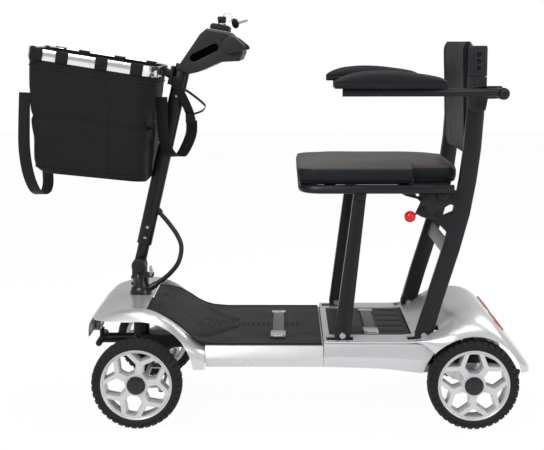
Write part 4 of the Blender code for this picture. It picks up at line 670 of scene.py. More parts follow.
def mid_body():
    """Floor panel between the two seams."""
    ends = (SEAM_F + SEAM / 2, SEAM_R - SEAM / 2)
    middle = [ends[0] + (ends[1] - ends[0]) * t for t in (0, 0.004, 0.25, 0.5, 0.75, 0.996, 1)]
    drawn_in = [SEAM if k in (0, 6) else 0 for k in range(len(middle))]
    body = Form().loft([side_slice(x, BODY_HALF - inset, PAN_TOP, BELLY_Z, 0.012)
                        for x, inset in zip(middle, drawn_in)]).object("floor_panel")
    inner = [side_slice(x, BODY_HALF - WALL, PAN_TOP - WALL, BELLY_Z + WALL, 0.012)
             for x in (ends[0] - 0.01, ends[1] + 0.01)]
    carve(body, Form().loft(inner))
    piece(body, "floor_panel", "chassis", "silver_paint", "mid_body", angle=24.0)


def rear_tub():
    """Open tub under the battery, cut away for the rear wheels and the frame's rails."""
    start = SEAM_R + SEAM / 2
    end = XR - 0.078
    low = BELLY_Z - 0.014
    rows = curve_through([(start, BELLY_Z, 0), (XR - 0.200, BELLY_Z - 0.004, 0), (XR - 0.110, low, 0),
                          (end, low, 0)], 5)
    tub = Form().loft([side_slice(r.x, BODY_HALF, SPLIT_Z, r.y, 0.006) for r in rows])
    tub = tub.object("rear_tub_panel")
    inner = [side_slice(x, BODY_HALF - WALL, SPLIT_Z - WALL, BELLY_Z + WALL, 0.006)
             for x in (start - 0.01, end - WALL)]
    carve(tub, Form().loft(inner))
    mouth = BODY_HALF - 0.0165
    carve(tub, Form().block((start - 0.01, -mouth, SPLIT_Z - WALL - 0.002), (end + 0.01, mouth, 0.25)))
    carve(tub, *arch_tools(XR, AXLE_Z, REAR_ARCH_R, WHEEL_Y - 0.035, False))
    for side in FLANKS:
        y = side * 0.160
        carve(tub, Form().block((end - 0.02, y - 0.012, 0.1332), (end + 0.02, y + 0.012, CUT_HIGH)))
    piece(tub, "rear_tub_panel", "chassis", "silver_paint", "rear_tub", angle=24.0)


LAMP_ALONG = Vector((0.6, -0.8))
LAMP_OUT = Vector((0.8, 0.6))


def tail_bar(low, high, inset, raise_by=0.0):
    """Slanting bar across the tail; with no inset it is the lamp's pocket."""
    centre = Vector((XR + 0.066, 0.2085))
    outline = []
    for a, b in ((-1, -1), (1, -1), (1, 1), (-1, 1)):
        lift = raise_by if b > 0 else (0.0008 if inset else 0.0)
        point = centre + LAMP_ALONG * (a * (0.014 - inset)) + LAMP_OUT * (b * 0.006 + lift)
        outline.append((point.x, point.y))
    return Form().plate(outline, low + inset, high - inset)


def rear_cover():
    """Painted cover with fenders, openings for battery, legs and posts, and tail lamps."""
    low = SPLIT_Z + SEAM
    lip = low + 0.0045
    full = WHEEL_Y + 0.026
    rows = [
        (SEAM_R + SEAM / 2, BODY_HALF - 0.0098, lip, low, 9.0),
        (XR - 0.150, BODY_HALF - 0.0095, lip, low, 9.0),
        (XR - 0.112, BODY_HALF - 0.004, 0.1975, low, 7.0),
        (XR - 0.080, BODY_HALF + 0.012, 0.219, 0.165, FAIR),
        (XR - 0.045, full - 0.002, 0.239, 0.140, FAIR),
        (XR + 0.005, full, 0.2475, 0.110, FAIR),
        (XR + 0.042, full - 0.001, 0.236, 0.112, FAIR),
        (XR + 0.072, full - 0.006, 0.208, 0.122, FAIR),
        (XR + 0.105, full - 0.018, 0.168, 0.126, FAIR),
        (XR + 0.122, full - 0.036, 0.146, 0.125, 4.0),
        (XR + 0.129, full - 0.058, 0.136, 0.123, 4.0),
    ]
    fine = rows[:2] + rows_through(rows[1:], 4)[1:]
    cover = skin_of(fine, (-WALL, -WALL), "rear_cover_skin")
    carve(cover, *arch_tools(XR, AXLE_Z, REAR_ARCH_R, WHEEL_Y - 0.035, False))
    carve(cover, Form().block((SEAM_R + 0.014, -0.1447, CUT_LOW), (SEAM_R + 0.1995, 0.1447, CUT_HIGH)))
    for pivot, reach in ((PIVOT_A, 0.024), (PIVOT_D, 0.032)):
        for side in FLANKS:
            y = side * LEG_Y
            slot = (pivot.x - 0.036, y - 0.015, CUT_LOW), (pivot.x + reach, y + 0.015, CUT_HIGH)
            carve(cover, Form().block(*slot))
    for name, side in SIDES:
        y0, y1 = sorted((side * 0.034, side * 0.142))
        carve(cover, tail_bar(y0, y1, 0.0))
        lamp = tail_bar(y0, y1, 0.0006, 0.0010)
        piece(lamp, "tail_lamp_" + name, "chassis", "red_lens", "tail_light_" + name, bevel=0.0018)
    piece(cover, "rear_cover_skin", "chassis", "silver_paint", "rear_cover", angle=32.0)


# Wheels

WHEELS = (("front", XF, 80.0), ("rear", XR, 270.0))
TYRE_R = 0.100
TYRE_HALF = 0.025
BEAD_R = 0.0796
LIP_R = 0.0735
WHEEL_SIDES = 120
BLOCK_ROOT = 0.0040


def on_wheel(x, side, radius, degrees, out):
    """Point on a wheel: radius and angle in its plane, and distance outwards from its middle."""
    t = math.radians(degrees)
    return Vector((x + radius * math.cos(t), side * (WHEEL_Y + out), AXLE_Z + radius * math.sin(t)))


def tyre(name, x, side):
    """Carcass with a bead line, sunk tread bands and rows of shoulder blocks."""
    half = TYRE_HALF
    carcass = [(BEAD_R, -half + 0.004), (BEAD_R + 0.0025, -half + 0.0012), (BEAD_R + 0.006, -half),
               (TYRE_R - 0.0135, -half + 0.0006), (TYRE_R - 0.0085, -half + 0.0024),
               (TYRE_R - 0.0035, -half + 0.0075), (TYRE_R - 0.0022, -half + 0.0125),
               (TYRE_R - 0.0020, -0.0062), (TYRE_R, -0.0052), (TYRE_R, -0.0012), (TYRE_R - 0.0022, -0.0006)]
    carcass += [(r, -w) for r, w in reversed(carcass)]
    centre, axis = (x, side * WHEEL_Y, AXLE_Z), (0, side, 0)
    form = Form().lathe(carcass, centre, axis, WHEEL_SIDES, closed=True)
    count = trim().tread_blocks
    blocks = ((TYRE_R - 0.0132, half - 0.0008, 0.30), (TYRE_R - 0.0075, half + 0.0002, 0.33),
              (TYRE_R - 0.0016, half - 0.0062, 0.34), (TYRE_R - 0.0001, half - 0.0105, 0.30),
              (TYRE_R - 0.0001, 0.0076, 0.24))
    for flank in FLANKS:
        bead = [(BEAD_R + 0.0052, flank * (half - 0.0004)), (BEAD_R + 0.0060, flank * (half + 0.0003)),
                (BEAD_R + 0.0068, flank * (half - 0.0004)), (BEAD_R + 0.0060, flank * (half - 0.0016))]
        form.lathe(bead, centre, axis, 96, closed=True)
        for k in range(count):
            turn = 360.0 / count
            middle = turn * (k + (0.5 if flank > 0 else 0.0))
            rings = []
            for radius, out, wide in blocks:
                lean = (half - out) * 160.0
                spread = turn * wide
                flat = out > half - BLOCK_ROOT
                ring = []
                for sink, edge in ((0.0, -1), (0.0, 1), (BLOCK_ROOT, 1), (BLOCK_ROOT, -1)):
                    ring.append(on_wheel(x, side, radius - (0.0 if flat else sink),
                                         middle + edge * spread + lean * 0.6,
                                         flank * (out - (sink if flat else 0.0))))
                rings.append(ring)
            form.loft(rings)
    piece(form, "tyre_tread_" + name, "wheel_" + name, "tyre_rubber", "tyre_" + name, angle=FITTING_EDGE)


def window(outline, x, side):
    """Cutter for one opening between spokes, narrower towards the wheel's middle plane."""
    centre = sum((Vector(p) for p in outline), Vector((0, 0))) / len(outline)
    rings = []
    for out, grow in ((-0.016, 0.80), (0.0180, 0.985), (0.026, 1.06)):
        rings.append([(x + centre.x + (px - centre.x) * grow, side * (WHEEL_Y + out),
                       AXLE_Z + centre.y + (pz - centre.y) * grow) for px, pz in outline])
    return Form().loft(rings)


def polar(radius, degrees):
    t = math.radians(degrees)
    return (radius * math.cos(t), radius * math.sin(t))


def rounded(outline, corner, steps=4):
    """Outline with each corner turned on a small curve."""
    points = [Vector(p) for p in outline]
    line = []
    for k, here in enumerate(points):
        before = points[k - 1]
        after = points[(k + 1) % len(points)]
        reach = min(corner, (before - here).length * 0.45, (after - here).length * 0.45)
        a = here + (before - here).normalized() * reach
        b = here + (after - here).normalized() * reach
        for j in range(steps + 1):
            t = j / steps
            p = a * (1 - t) ** 2 + here * (2 * t * (1 - t)) + b * t ** 2
            line.append((p.x, p.y))
    return line


def spoke_windows(start):
    """Openings between forked spokes: five large, five at the rim."""
    outer = LIP_R - 0.0012
    outlines = []
    for k in range(5):
        a = start + 72.0 * k
        large = [(0.0262, a + 15), (0.0452, a + 7.5), (0.0712, a + 27), (0.0712, a + 36), (0.0712, a + 45),
                 (0.0452, a + 64.5), (0.0262, a + 57)]
        small = [(0.0522, a)] + [(outer, a + turn) for turn in (19.5, 10, 0, -10, -19.5)]
        outlines.append(rounded([polar(r, d) for r, d in large], 0.0030))
        outlines.append(rounded([polar(r, d) for r, d in small], 0.0026))
    return outlines


def rim(name, x, side, start):
    """Cast wheel: stepped lip, dished face with forked spokes and a plain hub."""
    centre = (x, side * WHEEL_Y, AXLE_Z)
    out = (0, side, 0)
    barrel = [(LIP_R - 0.002, -0.021), (0.0788, -0.021), (0.0792, -0.0195), (0.0792, 0.0195),
              (0.0790, 0.0206), (0.0782, 0.0212), (0.0768, 0.0213), (0.0756, 0.0206),
              (LIP_R + 0.0006, 0.0186), (LIP_R - 0.0006, 0.0150)]
    wheel = Form().lathe(barrel, centre, out, WHEEL_SIDES, closed=True)
    dish = [(0.012, -0.0088), (0.0762, -0.0096), (0.0762, 0.0176), (0.060, 0.0186), (0.045, 0.0176),
            (0.032, 0.0158), (0.025, 0.0164), (0.012, 0.0164)]
    face = Form().lathe(dish, centre, out, WHEEL_SIDES, start=0.041).object("face")
    for outline in spoke_windows(start):
        carve(face, window(outline, x, side))
    soften(face, 0.0011, 42.0)
    applied(face)
    ring = wheel.object("rim_cast_" + name)
    hub = [(0.009, -0.0240), (0.0210, -0.0240), (0.0210, 0.0195), (0.0202, 0.0204), (0.009, 0.0204)]
    shell = Form().lathe(hub, centre, out, 64, closed=True).object("hub")
    joined = bmesh.new()
    for item in (ring, face, shell):
        joined.from_mesh(item.data)
    joined.to_mesh(ring.data)
    joined.free()
    for item in (face, shell):
        bpy.data.objects.remove(item, do_unlink=True)
    piece(ring, "rim_cast_" + name, "wheel_" + name, "wheel_silver", "rim_" + name, angle=28.0)


def hub_cap(name, x, side, node):
    """Domed cap with a step and a centre pip; the rear one carries its drive shaft."""
    base = 0.0209
    top = base + 0.0078
    profile = [(0.0205, base), (0.0205, base + 0.0022), (0.0198, base + 0.0030), (0.0188, base + 0.0031),
               (0.0184, base + 0.0042), (0.0170, base + 0.0062), (0.0130, base + 0.0072),
               (0.0072, top - 0.0002), (0.0068, top - 0.0010), (0.0052, top - 0.0010), (0.0046, top),
               (0.0012, top)]
    form = Form().lathe(profile, (x, side * WHEEL_Y, AXLE_Z), (0, side, 0), 64)
    if "shaft" in node:
        form.rod((x, side * 0.136, AXLE_Z), (x, side * (WHEEL_Y + base + 0.001), AXLE_Z), 0.008, 24)
    piece(form, "hub_dome_" + name, "wheel_" + name, "gloss_black", node, angle=FITTING_EDGE)


def wheels():
    """Tyre, rim and cap of each of the four wheels."""
    for end, x, start in WHEELS:
        for label, side in SIDES:
            name = end + "_" + label
            tyre(name, x, side)
            rim(name, x, side, start)
            hub_cap(name, x, side, ("hub_cap_" if end == "front" else "axle_shaft_") + name)


# Pieces kept from the frame

def carried_nodes():
    """Finish and edge rounding of the nodes shown as they come from the frame."""
    coat_nodes("black_satin", "main_frame", "front_leg_left", "front_leg_right", "back_post_left",
               "back_post_right", "seat_frame", "arm_bar_left", "arm_bar_right", "basket_bracket",
               "stem_tube", "tiller_hinge", "lock_lever", bevel=0.0007)
    coat_nodes("zinc_steel", "transaxle", "knuckle_left", "knuckle_right", "tie_rod", "tiller_latch",
               bevel=0.0005)
    coat_nodes("grey_steel", "back_cross_bar", bevel=0.0005)
    coat_nodes("black_plastic", "controller_box", "battery_pack", "head_housing", "head_cover",
               "throttle_paddles", bevel=0.0008)
    coat_nodes("gloss_black", "steering_column", bevel=0.0004)
    coat_nodes("smoked_lens", "headlight", bevel=0.0012)


# Floor mat and straps

MAT_HALF = 0.204
RIB_H = 0.0014
RIB_WEDGE = (XF + 0.110, XF + 0.232)
MAT_EDGE = ((XF, 0.146), (XF + 0.10, 0.178), (XF + 0.135, MAT_HALF))


def mat_half(x):
    """Half width of the mat, drawn in beside the front wheels."""
    for (x0, y0), (x1, y1) in zip(MAT_EDGE, MAT_EDGE[1:]):
        if x <= x1:
            return y0 + (y1 - y0) * max(0.0, x - x0) / (x1 - x0)
    return MAT_HALF


def mat_rib(form, line, start, width, path):
    """One raised rib over the mat; path holds (y, distance along) points."""
    rings = []
    for y, along in path:
        spot, ahead = line(start + along)
        up = Vector((-ahead.z, 0.0, ahead.x))
        rings.append([spot + Vector((0, y, 0)) + ahead * (a * width) + up * b
                      for a, b in ((-0.5, -0.0004), (0.5, -0.0004), (0.32, RIB_H), (-0.32, RIB_H))])
    form.loft(rings)


def deck_mat():
    """Rubber floor; its cross ribs narrow to a point behind, and two rows of blocks run to the back."""
    top = smooth_floor(-RIB_H)
    under = smooth_floor(-0.0036)
    mat = Form().plate(top + list(reversed(under)), -MAT_HALF, MAT_HALF).object("floor_mat")
    (front, narrow), back = MAT_EDGE[0], MAT_EDGE[-1][0]
    for side in FLANKS:
        corner = [(x, side * y) for x, y in (*MAT_EDGE, (back, OUTSIDE), (front - 0.05, OUTSIDE),
                                             (front - 0.05, narrow))]
        carve(mat, Form().slab(corner, CUT_LOW, CUT_HIGH))
    carve(mat, Form().rod((COLUMN_X, 0, 0.2), (COLUMN_X, 0, CUT_HIGH), 0.032, 48))
    piece(mat, "floor_mat", "chassis", "mat_rubber", "deck_mat", angle=24.0)
    points = [Vector((x, 0.0, z)) for x, z in top]
    marks = [0.0]
    for a, b in zip(points, points[1:]):
        marks.append(marks[-1] + (b - a).length)

    def line(along):
        k = next((i for i in range(1, len(marks) - 1) if marks[i] > along), len(marks) - 1)
        ahead = (points[k] - points[k - 1]).normalized()
        return points[k - 1] + ahead * (along - marks[k - 1]), ahead

    ribs = Form()
    pitch = trim().rib_pitch
    along = 0.022
    while line(along)[0].x < RIB_WEDGE[1]:
        spot = line(along)[0]
        edge = mat_half(spot.x) - 0.009
        wedge = max(0.0, spot.x - RIB_WEDGE[0]) / (RIB_WEDGE[1] - RIB_WEDGE[0])
        edge *= 1 - wedge
        inner = 0.020 if spot.z < DECK_Z + 0.006 else 0.0
        if along < 0.030:
            inner = 0.038
        bend = edge - min(0.024, (edge - inner) * 0.5)
        for side in FLANKS:
            if edge > inner + 0.012:
                path = [(side * edge, 0.010 * min(1.0, wedge * 4)), (side * bend, 0.0), (side * inner, 0.0)]
                mat_rib(ribs, line, along, pitch * 0.62, path)
        along += pitch
    block = marks[-1] - 0.052
    while line(block)[0].z < DECK_Z + 0.002 and line(block)[0].x > SEAM_F - 0.02:
        for y in (-0.010, 0.010):
            mat_rib(ribs, line, block, 0.0072, [(y - 0.0078, 0.0), (y + 0.0078, 0.0)])
        block -= 0.0115
    for side in FLANKS:
        edge = [(p.x, side * (mat_half(p.x) - 0.0028), p.z + 0.0004)
                for p in points if p.x > XF + 0.004]
        ribs.sweep(edge, circle(0.0016, 8), (0, 0, 1))
    piece(ribs, "floor_mat_ribs", "chassis", "mat_rubber", angle=FITTING_EDGE)


def straps():
    """Grab bands with folded metal clips, one on the floor and one on the battery."""
    for name, body, node, x, base, y0, y1 in (
            ("floor_band", "chassis", "deck_strap", SEAM_R - 0.101, DECK_Z, -0.148, 0.116),
            ("battery_band", "battery", "battery_strap", SEAM_R + 0.110, SPLIT_Z + 0.0035, -0.136, 0.116)):
        form = Form()
        low = base + 0.0004
        rings = []
        for k in range(41):
            t = k / 40
            y = y0 + 0.012 + (y1 - y0 - 0.024) * t
            crown = low + 0.0013 + 0.0022 * math.sin(math.pi * t) ** 0.7
            rings.append([(x + a, y, crown + b) for a, b in oval(0.026, 0.0018, 0.0008, 2)])
        form.loft(rings)
        form.coat = 1
        for end, inward, reach in ((y0, 1, 0.052), (y1, -1, 0.018)):
            a, b = sorted((end - inward * 0.004, end + inward * reach))
            clip = ((a, 0.032, 0.0034), (a + 0.001, 0.034, 0.0042), (b - 0.001, 0.034, 0.0042),
                    (b, 0.032, 0.0034))
            form.loft([[(x + u, y, low + 0.0021 + v) for u, v in oval(w, t, 0.0009, 2)] for y, w, t in clip])
            for dx in (-0.009, 0.009):
                form.bolt((x + dx, end + inward * 0.006, low + 0.0038), (0, 0, 1), 0.0030, 0.0014)
        piece(form, name, body, ("grey_webbing", "bright_aluminium"), node, angle=FITTING_EDGE)


# Seat

SEAT_X0 = XR - 0.387
SEAT_X1 = SEAT_X0 + 0.352
SEAT_Z = PIVOT_B.z + 0.0225
SEAT_HALF = 0.205
NOTCH_X = PIVOT_C.x - 0.064
NOTCH_Y = LEG_IN - 0.0020
# Share of the plan and height of each ring of the cushion, from the base over both pipings to the crown
SEAT_LEVELS = [
    (0.30, 0.0000), (0.93, 0.0000), (0.972, 0.0008), (0.985, 0.0028), (0.990, 0.0052), (0.983, 0.0062),
    (0.990, 0.0075), (0.9985, 0.0140), (1.0, 0.0200), (0.9985, 0.0265), (0.992, 0.0305), (0.985, 0.0315),
    (0.988, 0.0335), (0.984, 0.0354), (0.975, 0.0352), (0.968, 0.0345), (0.955, 0.0362), (0.92, 0.0390),
    (0.86, 0.0408), (0.75, 0.0422), (0.6, 0.0430), (0.42, 0.0434), (0.22, 0.0436), (0.08, 0.0436),
    (0.004, 0.0436)]
SEAM_LEVEL = 15
SIDE_TOP = 0.0318


def ripple(point, scale, seed):
    return noise.noise(Vector(point) * scale + Vector((seed, seed * 0.7, -seed)))


def seat_outline():
    """Plan of the cushion: round front corners, notched rear ones."""
    right = [(SEAT_X0, 0.0), (SEAT_X0, SEAT_HALF), (NOTCH_X, SEAT_HALF), (NOTCH_X, NOTCH_Y),
             (SEAT_X1, NOTCH_Y), (SEAT_X1, 0.0)]
    outline = right + [(x, -y) for x, y in reversed(right[1:-1])]
    corners = {1: 0.042, 2: 0.014, 3: 0.008, 4: 0.030}
    line = []
    count = len(outline)
    for k, here in enumerate(outline):
        here = Vector(here)
        size = corners.get(k, corners.get(count - k, 0.0))
        if not size:
            line.append(here)
            continue
        before, after = Vector(outline[k - 1]), Vector(outline[(k + 1) % count])
        a = here + (before - here).normalized() * size
        b = here + (after - here).normalized() * size
        line += [a * (1 - t) ** 2 + here * (2 * t * (1 - t)) + b * t ** 2
                 for t in [j / 6 for j in range(7)]]
    dense = []
    for a, b in zip(line, line[1:] + line[:1]):
        parts = max(1, round((b - a).length / 0.012))
        dense += [a.lerp(b, j / parts) for j in range(parts)]
    return dense


def seat_cushion():
    """Crowned pad: drawn-in sides, piped upper and lower edges, a soft top panel."""
    plan = seat_outline()
    centre = Vector(((SEAT_X0 + SEAT_X1) / 2, 0.0))
    rings = []
    for size, rise in SEAT_LEVELS:
        ring = []
        for p in plan:
            q = centre + (p - centre) * size
            z = SEAT_Z + rise
            if 0.0070 < rise < 0.030:
                q += (p - centre).normalized() * (ripple((p.x, p.y, rise * 3), 22.0, 3.1) * 0.0011)
            if rise > 0.0355:
                u = min(1.0, abs(q.x - centre.x) / 0.168)
                v = min(1.0, abs(q.y) / (SEAT_HALF - 0.010))
                z = SEAT_Z + 0.0348 + 0.0088 * (1 - u ** 4) * (1 - v ** 6)
                z += ripple((q.x, q.y, 0.0), 11.0, 1.7) * 0.0016 - 0.0014 * math.exp(-(q.y / 0.10) ** 2)
            if rise > 0.030:
                z -= 0.0022 * max(0.0, 1 - (q.x - SEAT_X0) / 0.060) ** 2
            ring.append((q.x, q.y, z))
        rings.append(ring)
    item = Form().loft(rings).object("seat_pad")
    # Faces above the upper piping take the lighter top vinyl and faces below it take the darker one: painted
    # light on the top, painted shade on the sides.
    for face in item.data.polygons:
        z = sum(item.data.vertices[k].co.z for k in face.vertices) / len(face.vertices)
        face.material_index = 1 if z < SEAT_Z + SIDE_TOP else 0
    item = piece(item, "seat_pad", "seat", ("seat_vinyl", "back_vinyl"), "seat_cushion", angle=70.0)
    stitches = Form()
    lift = Vector((0, 0, 0.0004))
    seam = [Vector(p) for p in rings[SEAM_LEVEL]]
    for spot, nxt in zip(seam, seam[1:] + seam[:1]):
        length = (nxt - spot).length
        for j in range(max(1, int(length / trim().stitch))):
            a = spot.lerp(nxt, (j + 0.2) * trim().stitch / length)
            b = spot.lerp(nxt, min(1.0, (j + 0.8) * trim().stitch / length))
            stitches.rod(a + lift, b + lift, 0.00045, 5)
    piece(stitches, "seat_pad_stitches", "seat", "seam_thread", angle=80.0)


def backrest():
    """Hollowed pad between the posts with a rolled top, side binding and low creases."""
    half = LEG_IN - 0.0004
    marks = [(0.600, -0.0180, 0.004, 0.012), (0.612, -0.0210, 0.006, 0.020), (0.680, -0.024, 0.010, 0.024),
             (0.760, -0.026, 0.012, 0.026), (0.820, -0.028, 0.010, 0.030), (0.835, -0.026, 0.008, 0.026),
             (0.845, -0.020, 0.006, 0.012)]
    rows = curve_through(marks, 7)
    steps = 44
    rings = []
    for z, edge, hollow, thick in rows:
        front, back = [], []
        for k in range(steps + 1):
            f = -1 + 2 * k / steps
            dip = hollow * (1 - f * f)
            low = max(0.0, 1 - (z - 0.600) / 0.12)
            fold = ripple((f * 3.0, 0.0, z * 2.0), 3.0, 5.3) * 0.0026 * low
            fold += ripple((f, z * 6, 0.2), 4.0, 2.2) * 0.0010
            binding = 0.0012 if abs(f) > 0.955 else 0.0
            groove = -0.0012 if 0.925 < abs(f) < 0.955 else 0.0
            fold *= 1 - f ** 6
            face = XR + edge + dip
            front.append((face + fold - binding - groove, half * f, z))
            back.append((face + thick * (1 - 0.55 * f ** 4) + fold * 0.6, half * f, z))
        rings.append(front + list(reversed(back)))
    item = piece(Form().loft(rings), "back_pad", "back", "back_vinyl", "backrest", angle=60.0)


ARM_PIVOT = Vector((XR + 0.0421, 0.0, 0.7370))
ARM_Y = 0.2725


def arm_pads():
    """Domed pads with a straight lip, a seam above it and a plain base."""
    low = ARM_PIVOT.z + 0.0028 + 0.0085 + 0.0004
    x0 = ARM_PIVOT.x + 0.0099 - 0.345 - 0.0170
    length = 0.232
    marks = [(0.0, 0.80, 0.40), (0.003, 0.90, 0.47), (0.010, 0.96, 0.60), (0.024, 0.99, 0.77),
             (0.046, 1.0, 0.93), (0.085, 1.0, 1.03), (0.130, 1.0, 1.0), (0.175, 1.0, 0.86),
             (length - 0.024, 0.99, 0.71), (length - 0.010, 0.96, 0.60), (length - 0.003, 0.90, 0.50),
             (length, 0.80, 0.42)]
    for name, side in SIDES:
        y = side * (ARM_Y + 0.0095)
        rings = []
        for along, wide, high in curve_through(marks, 4):
            w = 0.030 * wide
            top = low + 0.036 * high
            lip = low + 0.0118 * min(1.0, 0.55 + high)
            crown = top - lip
            half = [(w - 0.004, low), (w - 0.0012, low + 0.0008), (w, low + 0.003),
                    (w + 0.0003, (low + lip) / 2), (w, lip - 0.0010), (w - 0.0014, lip),
                    (w - 0.0008, lip + 0.0012)]
            for k in range(1, 9):
                t = math.pi / 2 * k / 8
                half.append((w * math.cos(t) ** 0.62 * 0.985,
                             lip + 0.0012 + (crown - 0.0012) * math.sin(t) ** 0.9))
            half[-1] = (0.0, top)
            ring = half + [(-a, b) for a, b in reversed(half[:-1])]
            rings.append([(x0 + along, y + a, b) for a, b in ring])
        item = piece(Form().loft(rings), "arm_cushion_" + name, "arm_" + name, "back_vinyl",
                     "arm_pad_" + name, angle=60.0)


def seat_fittings():
    """Pivot bolts and nuts of the folding seat, and the armrests' bolts."""
    for name, side in SIDES:
        out = (0, side, 0)
        for label, body, pivot in (("leg_bolts_", "legs", PIVOT_A), ("post_bolts_", "back", PIVOT_D)):
            form = Form().bolt((pivot.x, side * LEG_OUT, pivot.z), out, 0.0072, 0.0042)
            form.hexagon((pivot.x, side * LEG_IN, pivot.z), (0, -side, 0), 0.0070, 0.0050)
            piece(form, label + name, body, "zinc_steel", angle=FITTING_EDGE)
        arms = Form().bolt((ARM_PIVOT.x, side * (ARM_Y + 0.0105), ARM_PIVOT.z), out, 0.0085, 0.0040)
        piece(arms, "arm_bolt_" + name, "back", "black_plastic", angle=FITTING_EDGE)
        seat = Form()
        for pivot in (PIVOT_B, PIVOT_C):
            seat.bolt((pivot.x, side * (LEG_OUT + 0.0068), pivot.z), out, 0.0068, 0.0036)
        piece(seat, "seat_bolts_" + name, "seat", "black_satin", angle=FITTING_EDGE)


CAP_OUT = LEG_OUT + 0.0076
CLAMP_OUT = LEG_OUT + 0.0074
SPINDLE_R = 0.0105


def post_heads():
    """Moulded post heads: a holed cap, a screw block, a ribbed clamp and the armrest's spindle."""
    x0, x1 = XR - 0.0190, XR + 0.0200
    middle = (x0 + x1) / 2
    for name, side in SIDES:
        inner, outer = sorted((side * LEG_IN, side * CAP_OUT))
        plan = oval(x1 - x0, outer - inner, 0.006, 4)
        rings = []
        for z, grow in ((0.7712, 0.97), (0.7725, 1.0), (0.8300, 1.0), (0.8345, 0.965), (0.8360, 0.90)):
            rings.append([(middle + a * grow, (inner + outer) / 2 + b * grow, z) for a, b in plan])
        face = side * CAP_OUT
        panel = [(middle + a, 0.8025 + b) for a, b in oval(0.0185, 0.046, 0.003, 4)]
        shell = Form().loft(rings).object("post_head_" + name)
        raised = Form().plate(panel, *sorted((face - side * 0.002, face + side * 0.0016)))
        carve(shell, raised, operation="UNION")
        for z in (0.7880, 0.8025, 0.8170):
            start, end = (middle, face - side * 0.004, z), (middle, face + side * 0.01, z)
            carve(shell, Form().rod(start, end, 0.0049, 24))
        clamp = Form()
        low, high = sorted((side * (LEG_OUT + 0.0006), side * CLAMP_OUT))
        block = [(middle + a, 0.7580 + b) for a, b in oval(x1 - x0 - 0.002, 0.0250, 0.002, 3)]
        clamp.plate(block, low, high)
        arm = ARM_PIVOT.x
        outline = [(x0 - 0.001, 0.7460), (x0 - 0.001, 0.7060), (x0 + 0.003, 0.6975), (x0 + 0.011, 0.6940),
                   (x1 - 0.010, 0.6940), (x1 - 0.002, 0.7000), (x1 + 0.002, 0.7230), (arm + 0.008, 0.7235),
                   (arm + 0.0125, 0.7280), (arm + 0.0125, 0.7460), (arm + 0.008, 0.7505),
                   (x1 + 0.004, 0.7505)]
        clamp.plate(outline, low, high)
        for k in range(5):
            x = middle - 0.004 + k * 0.0048
            rib = [(x - 0.0013, 0.7235), (x + 0.0013, 0.7235), (x + 0.0003, 0.7020), (x - 0.0020, 0.7020)]
            clamp.plate(rib, *sorted((side * (LEG_OUT + 0.0070), side * (LEG_OUT + 0.0092))))
        clamp.bolt((middle, side * CLAMP_OUT, 0.7590), (0, side, 0), 0.0052, 0.0024)
        for y0, y1, radius, sides in ((LEG_OUT + 0.002, 0.2636, SPINDLE_R, 28), (0.2600, 0.2830, 0.006, 20)):
            clamp.rod((arm, side * y0, ARM_PIVOT.z), (arm, side * y1, ARM_PIVOT.z), radius, sides)
        cap = piece(shell, "post_head_" + name, "back", "black_plastic", bevel=0.0006)
        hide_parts("post_cap_" + name)
        piece(clamp, "post_clamp_" + name, "back", "black_plastic", bevel=0.0007)


BALL_R = 0.0125
KNOB_R = 0.0163
KNURLS = 72


def lever_knob():
    """Round red ball on the fold lever, and two bolts on the left post near it."""
    low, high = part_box("lever_ball")
    profile = [(BALL_R * math.sin(t), -BALL_R * math.cos(t))
               for t in [math.pi * k / 24 for k in range(1, 24)]]
    ball = Form().lathe(profile, (low + high) / 2, (0, 0, 1), 40)
    piece(ball, "lever_knob", "lever", "red_gloss", "lever_ball", angle=80.0)
    gusset = Form()
    face = -LEG_OUT
    for x, z in ((0.3163, 0.5153), (XR - 0.1124, 0.4800)):
        gusset.bolt((x, face - (0.0052 if z < 0.5 else 0.0), z), (0, -1, 0), 0.0056, 0.0030)
    piece(gusset, "lever_bolts", "back", "black_satin", angle=FITTING_EDGE)


def hinge_wheel():
    """Round clamp knob with a knurled rim at the tiller's hinge."""
    low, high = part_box("hinge_knob")
    near = low.y
    depth = high.y - near
    rings = []
    for out, grow in ((0.0, 0.86), (0.15, 0.97), (0.30, 1.0), (0.78, 1.0), (0.90, 0.95), (1.0, 0.80)):
        y = near + min(depth, 0.013) * (1 - out)
        ring = []
        for k in range(KNURLS):
            t = 2 * math.pi * k / KNURLS
            r = KNOB_R * grow - (0.0007 if k % 3 == 0 else 0.0)
            ring.append((HINGE.x + r * math.cos(t), y, HINGE.z + r * math.sin(t)))
        rings.append(ring)
    form = Form().loft(rings)
    form.rod((HINGE.x, near + 0.010, HINGE.z), (HINGE.x, high.y, HINGE.z), 0.0056, 20)
    form.bolt((HINGE.x, near, HINGE.z), (0, -1, 0), 0.0070, 0.0016)
    piece(form, "hinge_wheel", "tiller", "black_plastic", "hinge_knob", angle=28.0)


# Basket

TILT = math.radians(9.0)
RIM_BACK = Vector((XF + 0.042, 0.0, 0.779))
RIM_AHEAD = Vector((-math.cos(TILT), 0.0, math.sin(TILT)))
RIM_UP = Vector((math.sin(TILT), 0.0, math.cos(TILT)))
BASKET_LENGTH = 0.284
BASKET_HALF = 0.150
BAND_H = 0.024
LOOP_HALF = 0.0135
SEAM_SHIFT = 0.105
BAG_SEED = 4.2
CLOTH = 0.0026


def basket_ring(back, length, half, ahead, corner, steps=8):
    """Evenly spaced rounded rectangle that runs forward from a point on its back edge."""
    centre = back + ahead * (length / 2)
    outline = [Vector(p) for p in oval(length, 2 * half, corner, steps)]
    dense = []
    for a, b in zip(outline, outline[1:] + outline[:1]):
        parts = 12 if (b - a).length > 0.05 else 1
        dense += [a.lerp(b, j / parts) for j in range(parts)]
    return [centre + ahead * p.x + Vector((0.0, p.y, 0.0)) for p in dense]


